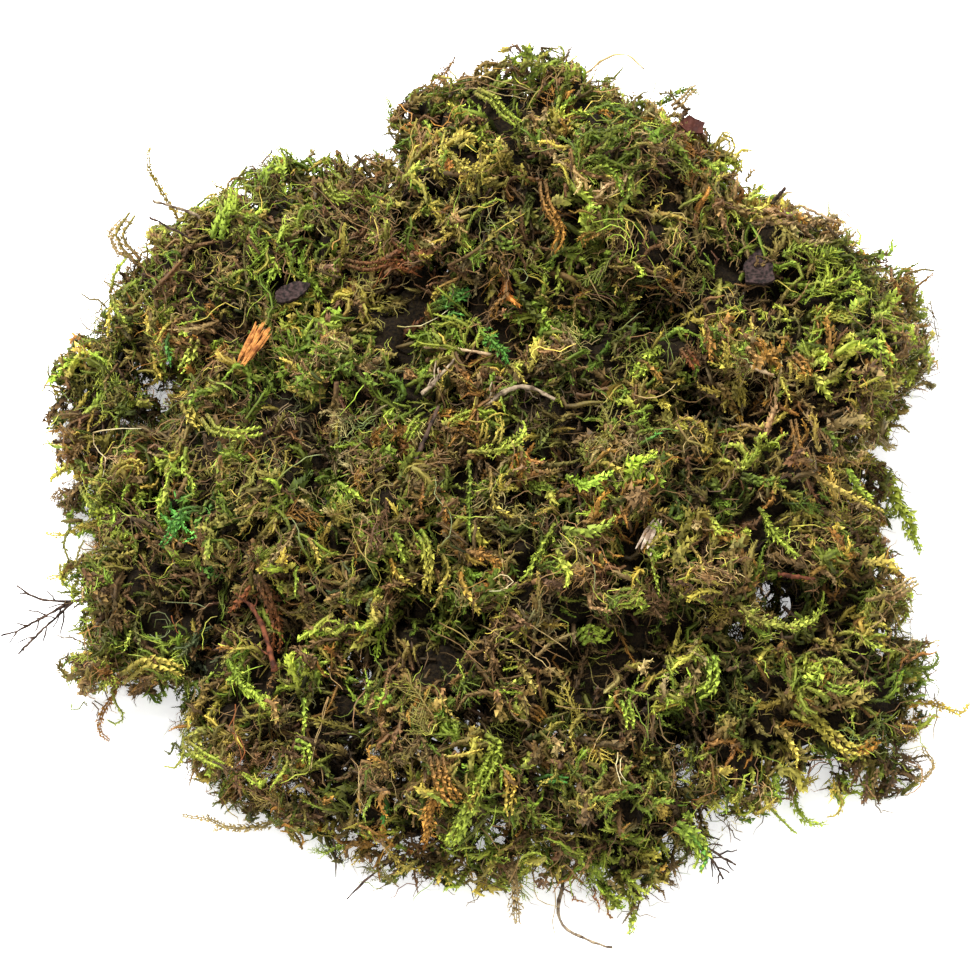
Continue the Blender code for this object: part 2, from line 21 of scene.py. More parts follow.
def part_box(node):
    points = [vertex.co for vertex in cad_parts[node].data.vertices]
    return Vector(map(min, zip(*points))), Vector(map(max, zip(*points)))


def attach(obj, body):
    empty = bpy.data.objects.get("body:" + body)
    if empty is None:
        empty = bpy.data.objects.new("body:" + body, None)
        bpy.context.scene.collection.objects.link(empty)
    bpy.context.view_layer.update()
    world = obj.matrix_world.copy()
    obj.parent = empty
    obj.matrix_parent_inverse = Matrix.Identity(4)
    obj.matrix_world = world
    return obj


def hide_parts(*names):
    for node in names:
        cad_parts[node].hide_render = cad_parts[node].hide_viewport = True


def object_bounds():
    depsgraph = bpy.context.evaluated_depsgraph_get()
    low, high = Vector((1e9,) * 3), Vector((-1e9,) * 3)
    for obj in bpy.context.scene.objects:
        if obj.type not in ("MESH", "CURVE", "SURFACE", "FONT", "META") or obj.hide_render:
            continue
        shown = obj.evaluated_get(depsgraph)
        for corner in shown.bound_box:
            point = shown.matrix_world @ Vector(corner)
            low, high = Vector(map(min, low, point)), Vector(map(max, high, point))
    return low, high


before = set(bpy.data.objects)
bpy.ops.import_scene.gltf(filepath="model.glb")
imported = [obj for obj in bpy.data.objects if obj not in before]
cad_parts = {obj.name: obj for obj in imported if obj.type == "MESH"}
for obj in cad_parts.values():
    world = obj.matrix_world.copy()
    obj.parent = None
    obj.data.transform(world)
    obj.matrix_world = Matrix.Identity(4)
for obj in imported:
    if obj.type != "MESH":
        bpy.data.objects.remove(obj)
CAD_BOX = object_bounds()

LOG = logging.getLogger("moss_clump")
MM = 0.001
BODY = "root"
GOLDEN_ANGLE = math.pi * (3.0 - math.sqrt(5.0))
BAKE_MAP = "OFBake"
UP = np.array([0.0, 0.0, 1.0])
WHITE = (1.0, 1.0, 1.0, 1.0)

Triple = tuple[float, float, float]
Colour = tuple[float, float, float, float]
Socket = bpy.types.NodeSocket
Inputs = dict[str | int, object]


class Tint(Enum):
    """Colours of the shoots and leaves, linear."""

    LIME = (0.43, 0.53, 0.06)
    YELLOW = (0.58, 0.46, 0.075)
    GREEN = (0.20, 0.29, 0.03)
    MID = (0.15, 0.17, 0.02)
    OLIVE = (0.26, 0.215, 0.045)
    BROWN = (0.21, 0.12, 0.045)
    UMBER = (0.10, 0.058, 0.022)
    ORANGE = (0.42, 0.20, 0.03)
    RUST = (0.21, 0.065, 0.017)
    TAN = (0.46, 0.34, 0.14)
    PALE = (0.60, 0.54, 0.32)
    EMERALD = (0.10, 0.33, 0.055)
    DEEP = (0.055, 0.06, 0.008)
    SAGE = (0.20, 0.23, 0.10)


def rgb(tint: Tint) -> np.ndarray:
    """The tint as an array of three numbers."""
    return np.array(tint.value, np.float64)


def unit(vectors: np.ndarray) -> np.ndarray:
    """The vectors at unit length."""
    return vectors / np.maximum(np.linalg.norm(vectors, axis=-1, keepdims=True), 1e-12)


def linked(name: str, data: bpy.types.ID) -> bpy.types.Object:
    """A new object in the scene that shows some data."""
    made = bpy.data.objects.new(name, data)
    bpy.context.scene.collection.objects.link(made)
    return made


def carry(mesh: bpy.types.Mesh, label: str, values: np.ndarray) -> None:
    """Gives each point of a mesh a number, or three of them."""
    kind, key = ("FLOAT_VECTOR", "vector") if values.ndim > 1 else ("FLOAT", "value")
    mesh.attributes.new(label, kind, "POINT").data.foreach_set(key, values.astype(np.float32).ravel())


def stand_in(piece: bpy.types.Object, node: str) -> int:
    """Lets a piece stand for its CAD node.

    Args:
        piece: The piece.
        node: The node.

    Returns:
        How many triangles it has.
    """
    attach(piece, BODY)
    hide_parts(node)
    triangles = sum(len(face.vertices) - 2 for face in piece.data.polygons)
    LOG.info("%s: %d triangles", piece.name, triangles)
    return triangles


@dataclass(frozen=True)
class PhotoView:
    """The place from which the photograph was taken, and its pixels.

    The camera looks along +Y and down, and one pixel is `pixel` metres wide at the point it is aimed at.
    """

    elevation: float = math.radians(60.0)
    distance: float = 1.2
    pixel: float = 0.31 * MM
    wide: int = 970
    high: int = 971
    aim: Triple = (4.36 * MM, 15.61 * MM, 0.0)
    sensor: float = 36.0
    nearest: float = 0.05

    def axes(self) -> tuple[np.ndarray, np.ndarray, np.ndarray]:
        """The camera's right, up and forward directions."""
        sine, cosine = math.sin(self.elevation), math.cos(self.elevation)
        return np.array([1.0, 0.0, 0.0]), np.array([0.0, sine, cosine]), np.array([0.0, cosine, -sine])

    def eye(self) -> np.ndarray:
        """Where the camera stands."""
        return np.array(self.aim) - self.distance * self.axes()[2]

    def ray(self, across: float, down: float) -> np.ndarray:
        """The direction from the camera through a pixel.

        Args:
            across: Pixels from the left side of the photograph.
            down: Pixels from its top.

        Returns:
            A direction of unit length.
        """
        right, above, ahead = self.axes()
        way = (
            self.distance * ahead
            + (across - self.wide / 2) * self.pixel * right
            - (down - self.high / 2) * self.pixel * above
        )
        return way / np.linalg.norm(way)

    def pixels(self, points: np.ndarray) -> np.ndarray:
        """Where points show in the photograph.

        Args:
            points: Places in metres, one to a row.

        Returns:
            Their pixels, across and down, one to a row.
        """
        right, above, ahead = self.axes()
        away = points - self.eye()
        scale = self.distance / (away @ ahead) / self.pixel
        return np.stack([self.wide / 2 + (away @ right) * scale, self.high / 2 - (away @ above) * scale], -1)

    def place(self) -> None:
        """Makes the scene's camera."""
        camera = bpy.data.cameras.new("camera_photo")
        camera.sensor_width = self.sensor
        camera.lens = self.sensor * self.distance / (self.wide * self.pixel)
        camera.clip_start = self.nearest
        holder = linked(camera.name, camera)
        holder.location = self.eye()
        holder.rotation_euler = (math.pi / 2 - self.elevation, 0.0, 0.0)
        bpy.context.scene.camera = holder


def opened(sockets: Iterable[Socket], name: str = "") -> Socket:
    """The first socket in use, or the first one of that name."""
    return next(socket for socket in sockets if socket.enabled and name in ("", socket.name))


class Layer:
    """A few words for laying nodes in a tree."""

    def __init__(self, tree: bpy.types.NodeTree) -> None:
        """Keeps the tree at hand."""
        self.tree = tree

    def add(self, kind: str, inputs: Inputs | None = None, **settings: object) -> bpy.types.Node:
        """Adds a node.

        Args:
            kind: The node's type.
            inputs: What its inputs take, as for feed.
            **settings: Its properties.

        Returns:
            The node.
        """
        node = self.tree.nodes.new(kind)
        for name, value in settings.items():
            setattr(node, name, value)
        self.feed(node, inputs or {})
        return node

    def feed(self, node: bpy.types.Node, inputs: Inputs) -> None:
        """Sets or links inputs of a node.

        Args:
            node: The node.
            inputs: What they take, by name or number: a value, a socket, or a node for its first output.
        """
        for key, value in inputs.items():
            socket = node.inputs[key] if isinstance(key, int) else opened(node.inputs, key)
            if isinstance(value, bpy.types.Node):
                value = opened(value.outputs)
            if isinstance(value, Socket):
                self.tree.links.new(value, socket)
            else:
                socket.default_value = value


class Surface(Layer):
    """The nodes of a new Principled material."""

    def __init__(self, name: str) -> None:
        """Makes the material."""
        self.material = bpy.data.materials.new(name)
        self.material.use_nodes = True
        super().__init__(self.material.node_tree)

    def shade(self, inputs: Inputs) -> None:
        """Sets or links inputs of the shader."""
        self.feed(self.tree.nodes["Principled BSDF"], inputs)

    def attribute(self, name: str, output: str) -> Socket:
        """An attribute of the piece's mesh."""
        node = self.add("ShaderNodeAttribute", attribute_type="GEOMETRY", attribute_name=name)
        return node.outputs[output]

    def noise(self, scale: float, detail: float, rough: float = 0.5) -> Socket:
        """A noise on Object coordinates.

        Args:
            scale: Its pitch, per metre.
            detail: Its octaves.
            rough: How strong the fine octaves are.

        Returns:
            The noise's number, about 0.5.
        """
        place = self.add("ShaderNodeTexCoord").outputs["Object"]
        inputs = {"Scale": scale, "Detail": detail, "Roughness": rough, "Vector": place}
        return self.add("ShaderNodeTexNoise", inputs).outputs["Fac"]

    def spread(self, value: Socket, low: float, high: float) -> Socket:
        """The middle of a noise's span, stretched to another span.

        Args:
            value: The noise.
            low: What 0.3 becomes.
            high: What 0.7 becomes.

        Returns:
            The stretched number.
        """
        inputs = {"From Min": 0.3, "From Max": 0.7, "To Min": low, "To Max": high, "Value": value}
        return self.add("ShaderNodeMapRange", inputs).outputs["Result"]

    def ramp(self, value: Socket, *stops: tuple[float, Colour]) -> Socket:
        """Colours for a number, eased between some stops.

        Args:
            value: The number.
            *stops: Where each colour is met, in rising order.

        Returns:
            The colour.
        """
        node = self.add("ShaderNodeValToRGB", {"Fac": value})
        band = node.color_ramp.elements
        for index in (0, -1):
            band[index].position, band[index].color = stops[index]
        for place, colour in stops[1:-1]:
            band.new(place).color = colour
        return node.outputs["Color"]

    def bump(self, height: Socket, strength: float, distance: float) -> None:
        """Roughens the shader's surface.

        Args:
            height: The relief.
            strength: How much of it shows.
            distance: Its depth in metres.
        """
        inputs = {"Strength": strength, "Distance": distance, "Height": height}
        self.shade({"Normal": self.add("ShaderNodeBump", inputs)})


@dataclass(frozen=True)
class Studio:
    """The pale floor and the soft lights round the clump."""

    floor_side: float = 6.0
    floor_colour: Colour = (0.93, 0.93, 0.93, 1.0)
    floor_rough: float = 0.9
    floor_shine: float = 0.1
    floor_glow: float = 0.5
    sky_strength: float = 1.08
    key_power: float = 63.0
    key_side: float = 0.55
    key_from: Triple = (-0.55, 0.75, 1.5)
    fill_power: float = 6.0
    fill_side: float = 1.0
    fill_from: Triple = (0.5, -1.3, 1.2)

    def lamp(self, name: str, power: float, side: float, place: Triple) -> None:
        """Hangs one square lamp that shines at the clump.

        Args:
            name: The lamp's name.
            power: Its power in watts.
            side: Its side in metres.
            place: Where it hangs.
        """
        light = bpy.data.lights.new(name, "AREA")
        light.energy, light.size = power, side
        holder = linked(name, light)
        holder.location = place
        holder.rotation_euler = (-Vector(place)).to_track_quat("-Z", "Y").to_euler()

    def build(self) -> None:
        """Lays the floor, sets the sky and hangs the lamps."""
        half = self.floor_side / 2
        corners = [(-half, -half, 0), (half, -half, 0), (half, half, 0), (-half, half, 0)]
        mesh = bpy.data.meshes.new("floor")
        mesh.from_pydata(corners, [], [(0, 1, 2, 3)])
        pale = Surface("floor_pale")
        pale.shade({
            "Base Color": self.floor_colour,
            "Roughness": self.floor_rough,
            "Specular IOR Level": self.floor_shine,
            "Emission Color": WHITE,
            "Emission Strength": self.floor_glow,
        })
        mesh.materials.append(pale.material)
        floor = linked("floor", mesh)
        world = bpy.data.worlds.new("studio")
        world.use_nodes = True
        sky = Layer(world.node_tree)
        sky.feed(sky.tree.nodes["Background"], {"Color": WHITE, "Strength": self.sky_strength})
        scene = bpy.context.scene
        scene.world = world
        scene.view_settings.view_transform = "Standard"
        scene.view_settings.look = "None"
        self.lamp("lamp_key", self.key_power, self.key_side, self.key_from)
        self.lamp("lamp_fill", self.fill_power, self.fill_side, self.fill_from)


@dataclass(frozen=True)
class ShootFinish:
    """Dried moss leaves and stems: every leaf has its own tint and shade, mottled along the shoot; tint and
    shade carry painted shade and painted highlights.
    """

    name: str
    mottle_pitch: float = 900.0
    mottle: float = 0.3
    patch_pitch: float = 38.0
    patch: float = 0.16
    noise_rough: float = 0.6
    rough_low: float = 0.5
    rough_high: float = 0.85
    shine: float = 0.18
    grain: float = 0.35
    relief: float = 0.2 * MM

    def make(self) -> bpy.types.Material:
        """Makes the material.

        Returns:
            It, reading the mesh's tint and shade attributes.
        """
        nodes = Surface(self.name)
        fine = nodes.noise(self.mottle_pitch, 2.0, self.noise_rough)
        broad = nodes.noise(self.patch_pitch, 1.0, self.noise_rough)
        colour = nodes.attribute("tint", "Color")
        for factor in (
            nodes.attribute("shade", "Fac"),
            nodes.spread(fine, 1 - self.mottle, 1 + self.mottle),
            nodes.spread(broad, 1 - self.patch, 1 + self.patch),
        ):
            colour = nodes.add("ShaderNodeVectorMath", {0: colour, "Scale": factor}, operation="SCALE")
        rough = nodes.spread(fine, self.rough_low, self.rough_high)
        nodes.shade({"Base Color": colour, "Roughness": rough, "Specular IOR Level": self.shine})
        nodes.bump(fine, self.grain, self.relief)
        return nodes.material


@dataclass(frozen=True)
class FeltAndShadeFinish:
    """The packed inside of a tuft: soil-brown fibres with a little green, near-black as painted shade in the
    deep gaps.
    """

    name: str
    # The near-black stop is painted shade for the deep gaps between the shoots; brown and green are the
    # fibres' own colour.
    dark: Colour = (0.003, 0.0025, 0.0015, 1.0)
    brown: Colour = (0.018, 0.011, 0.005, 1.0)
    green: Colour = (0.020, 0.022, 0.006, 1.0)
    fibre_pitch: float = 950.0
    relief: float = 1.2 * MM
    shine: float = 0.1

    def make(self) -> bpy.types.Material:
        """Makes the material.

        Returns:
            It, with its fibres as noise and bump.
        """
        nodes = Surface(self.name)
        fibre = nodes.noise(self.fibre_pitch, 5.0, 0.7)
        colour = nodes.ramp(fibre, (0.38, self.dark), (0.56, self.brown), (0.72, self.green))
        rough = nodes.spread(fibre, 0.8, 1.0)
        nodes.shade({"Base Color": colour, "Roughness": rough, "Specular IOR Level": self.shine})
        nodes.bump(fibre, 1.0, self.relief)
        return nodes.material


@dataclass(frozen=True)
class WoodFinish:
    """Twigs, roots, straws and bark: two colours in fine flecks, with a rough relief."""

    name: str
    dark: Triple
    pale: Triple
    grain_pitch: float = 500.0
    contrast: float = 0.12
    relief: float = 0.35 * MM
    rough: float = 0.75
    rough_span: float = 0.12
    shine: float = 0.12

    def make(self) -> bpy.types.Material:
        """Makes the material.

        Returns:
            It, flecked by a noise on Object coordinates.
        """
        nodes = Surface(self.name)
        grain = nodes.noise(self.grain_pitch, 4.0)
        stops = (0.5 - self.contrast, (*self.dark, 1.0)), (0.5 + self.contrast, (*self.pale, 1.0))
        colour = nodes.ramp(grain, *stops)
        rough = nodes.spread(grain, self.rough - self.rough_span, self.rough + self.rough_span)
        nodes.shade({"Base Color": colour, "Roughness": rough, "Specular IOR Level": self.shine})
        nodes.bump(grain, 0.8, self.relief)
        return nodes.material


@dataclass
class HeapField:
    """Distance to the skin of the whole heap, on a grid: above zero outside it and below zero inside.

    The narrow seams between the tufts are closed, and the floor doesn't count as skin.
    """

    view: PhotoView
    cell: float = 2.5 * MM
    margin: float = 25 * MM
    valley: float = 9 * MM
    reach: int = 11
    lump_rise: float = 14 * MM
    lump_waves: int = 5
    lump_height: float = 2.2
    lump_spread: tuple[float, float] = (0.8, 1.3)
    relief: tuple[tuple[float, float], ...] = ((34 * MM, 2.6 * MM), (17 * MM, 2.8 * MM), (9.5 * MM, 1.7 * MM))
    ragged: tuple[tuple[float, float], ...] = ((23 * MM, 2.6 * MM), (11 * MM, 3.4 * MM))
    rim_step: float = 3.0
    bulge_low: float = 4 * MM
    bulge_blend: float = 7 * MM
    dent_before: float = 20 * MM
    inset: float = 2.4 * MM
    smooth_rounds: int = 2
    ray_length: float = 0.16
    ray_step: float = 1.0 * MM
    hair: float = 1e-6
    seed: int = 12
    start: np.ndarray = field(init=False)
    places: np.ndarray = field(init=False)
    grid: np.ndarray = field(init=False)
    tree: BVHTree = field(init=False)
    face_owner: np.ndarray = field(init=False)

    def build(self, solids: list[bpy.types.Object]) -> None:
        """Fills the grid.

        Args:
            solids: The closed solids of the heap.
        """
        smooth = self.smooth_distance(solids)
        self.places = self.start + self.cell * np.stack(np.indices(smooth.shape), -1)
        lifted = np.clip(self.places[..., 2] / self.lump_rise, 0, 1)
        self.keep(smooth - lifted * self.lumps(self.relief), smooth)

    def keep(self, signed: np.ndarray, smooth: np.ndarray) -> None:
        """Stores the grid: its distances, their slopes, and the distances without relief."""
        self.grid = np.stack([signed, *np.gradient(signed, self.cell), smooth], -1).astype(np.float32)

    def lumps(self, relief: tuple[tuple[float, float], ...]) -> np.ndarray:
        """Lumps and hollows, as heights over a smooth skin at every point of the grid.

        Args:
            relief: The pitch and the height of each size of lump, in metres.

        Returns:
            The heights.
        """
        dice = np.random.default_rng(self.seed)
        height = np.zeros(self.places.shape[:-1])
        for pitch, size in relief:
            for _ in range(self.lump_waves):
                way = unit(dice.normal(size=3)) * math.tau / pitch / dice.uniform(*self.lump_spread)
                height += size / self.lump_height * np.sin(self.places @ way + dice.uniform(0, math.tau))
        return height

    def dent(self, across: float, down: float, radius: float, depth: float) -> None:
        """Presses a round hollow into the heap, or into the air over the floor, along the line of sight.

        Args:
            across: The column of its middle.
            down: Its row.
            radius: Its radius in millimetres.
            depth: How deep it goes, in millimetres.
        """
        eye, way = self.view.eye(), self.view.ray(across, down)
        met = self.struck(across, down)
        top = eye + (-eye[2] / way[2] if met is None else met) * way
        along = np.clip((self.places - top) @ way, -self.dent_before, depth * MM)
        gap = radius * MM - np.linalg.norm(self.places - top - along[..., None] * way, axis=-1)
        self.keep(np.maximum(self.grid[..., 0], gap), self.grid[..., 4])

    def rim(self, across: float, down: float) -> tuple[np.ndarray, float]:
        """The nearest pixel on the way to the heap's middle that shows the heap.

        Args:
            across: The column to start from.
            down: The row to start from.

        Returns:
            The pixel, and how far the heap is from the camera there, along its line of sight.
        """
        spot = np.array([across, down], float)
        step = self.rim_step * unit(np.array(HEAP_MIDDLE) - spot)
        while (along := self.struck(*spot)) is None:
            spot = spot + step
        return spot, along * float(self.view.ray(*spot) @ self.view.axes()[2])

    def swell(self, across: float, down: float, radius: float) -> None:
        """Lets the heap bulge, from the ground up, where the photograph's reaches beyond the solids.

        Args:
            across: The column of the bulge's middle.
            down: Its row.
            radius: Its radius in millimetres.
        """
        eye, way = self.view.eye(), self.view.ray(across, down)
        away = self.rim(across, down)[1] / float(way @ self.view.axes()[2])
        away = self.places - (eye + min(away, (self.bulge_low - eye[2]) / way[2]) * way)
        away[..., 2] = np.maximum(away[..., 2], 0.0)
        bulge = np.linalg.norm(away, axis=-1) - radius * MM
        sides = []
        for held in (self.grid[..., 0], self.grid[..., 4]):
            near = np.maximum(self.bulge_blend - np.abs(held - bulge), 0.0)
            sides.append(np.minimum(held, bulge) - near**2 / (4 * self.bulge_blend))
        self.keep(*sides)

    def trim(self, outline: tuple[tuple[int, int], ...]) -> None:
        """Pulls the skin in to the outline that the heap has in the photograph.

        Args:
            outline: The outline's corners, in pixels.
        """
        seen = self.view.pixels(self.places.reshape(-1, 3))
        nearest = np.full(len(seen), np.inf)
        inside = np.zeros(len(seen), bool)
        corners = np.array(outline, float)
        for start, end in zip(corners, np.roll(corners, -1, 0)):
            side = end - start
            away = seen - start
            share = np.clip(away @ side / (side @ side), 0, 1)
            nearest = np.minimum(nearest, np.hypot(*(away - share[:, None] * side).T))
            crossed = (start[1] > seen[:, 1]) != (end[1] > seen[:, 1])
            inside ^= crossed & (seen[:, 0] < side[0] * away[:, 1] / (side[1] or 1.0) + start[0])
        beyond = np.where(inside, -nearest, nearest).reshape(self.places.shape[:-1])
        beyond = beyond * self.view.pixel + self.inset
        beyond += self.lumps(self.ragged)
        self.keep(np.maximum(self.grid[..., 0], beyond), np.maximum(self.grid[..., 4], beyond))

    def smooth_distance(self, solids: list[bpy.types.Object]) -> np.ndarray:
        """Distance to the skin before any relief.

        Args:
            solids: The closed solids of the heap.

        Returns:
            The distance at every point of the grid.
        """
        corners, faces, owners = [], [], []
        for number, solid in enumerate(solids):
            first = len(corners)
            corners += [vertex.co.copy() for vertex in solid.data.vertices]
            faces += [[first + index for index in face.vertices] for face in solid.data.polygons]
            owners += [number] * len(solid.data.polygons)
        tree = self.tree = BVHTree.FromPolygons(corners, faces)
        self.face_owner = np.array(owners)
        places = np.array(corners)
        low, high = places.min(0) - self.margin, places.max(0) + self.margin
        self.start = low
        counts = np.ceil((high - low) / self.cell).astype(int) + 1
        heights = low[2] + self.cell * np.arange(counts[2])
        full = np.zeros(counts, bool)
        up = Vector(UP)
        for column in range(counts[0]):
            for row in range(counts[1]):
                spot = Vector((low[0] + column * self.cell, low[1] + row * self.cell, low[2]))
                entered = None
                while True:
                    hit, normal, _, _ = tree.ray_cast(spot, up)
                    if hit is None:
                        break
                    if normal.z < 0:
                        entered = hit.z if entered is None else entered
                    elif entered is not None:
                        full[column, row] |= (heights >= entered - self.hair) & (heights <= hit.z)
                        entered = None
                    spot = hit + self.hair * up
        ground = int(np.searchsorted(heights, 0.0)) + 1
        full[:, :, :ground] = full[:, :, ground : ground + 1]
        closed = self.distance_from(full) <= self.valley
        full = self.distance_from(~closed) > self.valley
        outside, inside = self.distance_from(full), self.distance_from(~full)
        signed = np.where(full, self.cell / 2 - inside, outside - self.cell / 2)
        for _ in range(self.smooth_rounds):
            for axis in range(3):
                steps = np.arange(signed.shape[axis])
                before, after = np.maximum(steps - 1, 0), np.minimum(steps + 1, steps[-1])
                signed = 0.5 * signed + 0.25 * (signed.take(before, axis) + signed.take(after, axis))
        return signed

    def owner(self, points: np.ndarray) -> np.ndarray:
        """The number of the solid nearest to each point."""
        return self.face_owner[[self.tree.find_nearest(Vector(point))[2] for point in points]]

    def skin(self, level: float, floor: float) -> tuple[np.ndarray, np.ndarray]:
        """The surface at one distance from the skin, as four-sided faces that face out.

        Args:
            level: The distance, below zero for inside.
            floor: The height at which it is cut off flat.

        Returns:
            Its points, and the faces as rows of four point numbers.
        """
        heights = self.start[2] + self.cell * np.arange(self.grid.shape[2])
        values = np.maximum(self.grid[..., 0] - level, floor - heights)
        inner = values < 0
        cells = np.array(values.shape) - 1

        def corner(array: np.ndarray, bits: tuple[int, ...]) -> np.ndarray:
            """One corner of every cell."""
            return array[tuple(slice(bit, bit + size) for bit, size in zip(bits, cells))]

        summed, met = np.zeros((*cells, 3)), np.zeros(cells)
        for axis in range(3):
            for first in range(4):
                bits = [first & 1, first >> 1 & 1]
                bits.insert(axis, 0)
                ends = list(bits)
                ends[axis] = 1
                one, two = corner(values, tuple(bits)), corner(values, tuple(ends))
                cut = (one < 0) != (two < 0)
                share = np.where(cut, one / np.where(cut, one - two, 1.0), 0.0)
                for side in range(3):
                    summed[..., side] += cut * (share if side == axis else bits[side])
                met += cut
        mixed = met > 0
        number = np.full(cells, -1)
        number[mixed] = np.arange(mixed.sum())
        points = self.start + self.cell * (np.argwhere(mixed) + summed[mixed] / met[mixed][:, None])
        faces = []
        for axis in range(3):
            second, third = (axis + 1) % 3, (axis + 2) % 3
            low, high = [slice(None)] * 3, [slice(None)] * 3
            low[axis], high[axis] = slice(0, -1), slice(1, None)
            change = inner[tuple(low)].astype(int) - inner[tuple(high)].astype(int)
            spots = np.argwhere(change != 0)
            spots = spots[(spots[:, second] > 0) & (spots[:, third] > 0)
                          & (spots[:, second] < cells[second]) & (spots[:, third] < cells[third])]
            outward = change[tuple(spots.T)] > 0
            around = []
            for back_second, back_third in ((1, 1), (0, 1), (0, 0), (1, 0)):
                cell = spots.copy()
                cell[:, second] -= back_second
                cell[:, third] -= back_third
                around.append(number[tuple(cell.T)])
            quads = np.stack(around, 1)
            faces.append(np.where(outward[:, None], quads, quads[:, ::-1]))
        return points, np.concatenate(faces)

    def distance_from(self, full: np.ndarray) -> np.ndarray:
        """Distance from the nearest full cell.

        Args:
            full: Which cells are full.

        Returns:
            The distance in metres, no more than the grid's reach.
        """
        most = ((self.reach + 1) * self.cell) ** 2
        found = np.where(full, 0.0, most).astype(np.float32)
        for axis in range(3):
            best = found.copy()
            length = found.shape[axis]
            for shift in range(1, self.reach + 1):
                step = (shift * self.cell) ** 2
                near, far = [slice(None)] * 3, [slice(None)] * 3
                near[axis], far[axis] = slice(0, length - shift), slice(shift, length)
                for one, other in ((tuple(near), tuple(far)), (tuple(far), tuple(near))):
                    best[one] = np.minimum(best[one], found[other] + step)
            found = best
        return np.sqrt(np.minimum(found, most))

    def sunk(self, points: np.ndarray) -> np.ndarray:
        """How far points lie under the heap's smooth skin, in metres."""
        return -self.mixed(points)[:, 4]

    def mixed(self, points: np.ndarray) -> np.ndarray:
        """The grid's values at some points, eased between its cells.

        Args:
            points: Places in metres, one to a row.

        Returns:
            Distance, slope in x, y and z, and smooth distance, one row to a point.
        """
        spot = (points - self.start) / self.cell
        most = np.array(self.grid.shape[:3]) - 2
        spot = np.clip(spot, 0, most + 0.999)
        whole = np.minimum(spot.astype(int), most)
        part = spot - whole
        total = np.zeros((len(points), self.grid.shape[3]))
        for corner in range(8):
            bits = np.array([corner & 1, corner >> 1 & 1, corner >> 2 & 1])
            weight = np.where(bits, part, 1 - part).prod(1)
            at = whole + bits
            total += weight[:, None] * self.grid[at[:, 0], at[:, 1], at[:, 2]]
        return total

    def read(self, points: np.ndarray) -> tuple[np.ndarray, np.ndarray]:
        """Distance and outward direction at some points.

        Args:
            points: Places in metres, one to a row.

        Returns:
            The signed distances, and directions of unit length.
        """
        total = self.mixed(points)
        slope = total[:, 1:4]
        length = np.linalg.norm(slope, axis=1, keepdims=True)
        flat = length[:, 0] < 1e-4
        slope = np.where(flat[:, None], UP, slope / np.maximum(length, 1e-9))
        return total[:, 0], slope

    def struck(self, across: float, down: float, level: float = 0.0) -> float | None:
        """How far along a pixel's ray the heap is met.

        Args:
            across: The pixel's column.
            down: The pixel's row.
            level: How far outside the skin, in metres.

        Returns:
            The distance from the camera in metres, or None where the ray misses.
        """
        eye, way = self.view.eye(), self.view.ray(across, down)
        far = -eye[2] / way[2]
        along = np.arange(far - self.ray_length, far, self.ray_step)
        met = np.nonzero(self.mixed(eye + along[:, None] * way)[:, 0] < level)[0]
        return float(along[met[0]]) if len(met) else None


@dataclass
class Strands:
    """Many shoots or stems with the same number of points each, in metres.

    Stem radius, leaf length and tint are given at every point. For a whole shoot there are: whether it is
    leafy, the turn from leaf to leaf, whether its stem is plump, and the gap between its leaves.
    """

    points: np.ndarray
    stem: np.ndarray
    leaf: np.ndarray
    tint: np.ndarray
    leafy: np.ndarray
    turn: np.ndarray
    plump: np.ndarray
    gap: np.ndarray

    def chosen(self, which: np.ndarray) -> "Strands":
        """The shoots that are marked, as their own set."""
        return Strands(*(getattr(self, measure.name)[which] for measure in fields(self)))

    def spread(self, label: str) -> np.ndarray:
        """A measure of the shoots, for every one of their points."""
        values = getattr(self, label)
        return np.broadcast_to(values if values.ndim > 1 else values[:, None], self.points.shape[:2]).ravel()


class Habit(Enum):
    """How a shoot grows: (shoots per square millimetre, least and greatest length, stem radius,
    least and greatest leaf length, depth of root, middle and tip, how far it curls, points,
    distance between leaves), in millimetres. A bare stem has leaves of no length."""

    DEEP = (0.0064, 12.0, 24.0, 0.75, 1.3, 1.7, -7.5, -6.2, -5.6, 0.08, 5, 1.1)
    LOW = (0.0145, 9.0, 18.0, 0.74, 1.3, 1.8, -5.5, -3.4, -3.2, 0.15, 6, 0.54)
    TOP = (0.0335, 7.0, 17.0, 0.68, 1.2, 1.8, -4.2, -0.8, -1.0, 0.22, 6, 0.43)
    TIP = (0.012, 6.0, 11.0, 0.55, 1.1, 1.5, -3.0, 0.8, 2.2, 0.26, 5, 0.4)
    EDGE = (0.017, 7.0, 15.0, 0.40, 0.9, 1.4, -3.0, 2.5, 6.5, 0.26, 6, 0.45)
    RIM = (0.034, 8.0, 18.0, 0.15, 0.0, 0.0, -2.0, 3.0, 7.0, 0.24, 8, 1.0)
    BARE = (0.013, 8.0, 20.0, 0.12, 0.0, 0.0, -3.0, 0.0, 0.6, 0.28, 9, 1.0)
    FUZZ = (0.180, 4.0, 10.0, 0.11, 0.0, 0.0, -2.5, -0.2, 0.0, 0.55, 8, 1.0)
    ROPE = (0.0040, 12.0, 22.0, 0.62, 1.6, 2.1, -2.4, 0.4, 0.2, 0.20, 8, 0.40)
    FEATHER = (0.0018, 12.0, 20.0, 0.24, 0.9, 1.2, -3.0, 0.4, 1.0, 0.07, 6, 0.5)


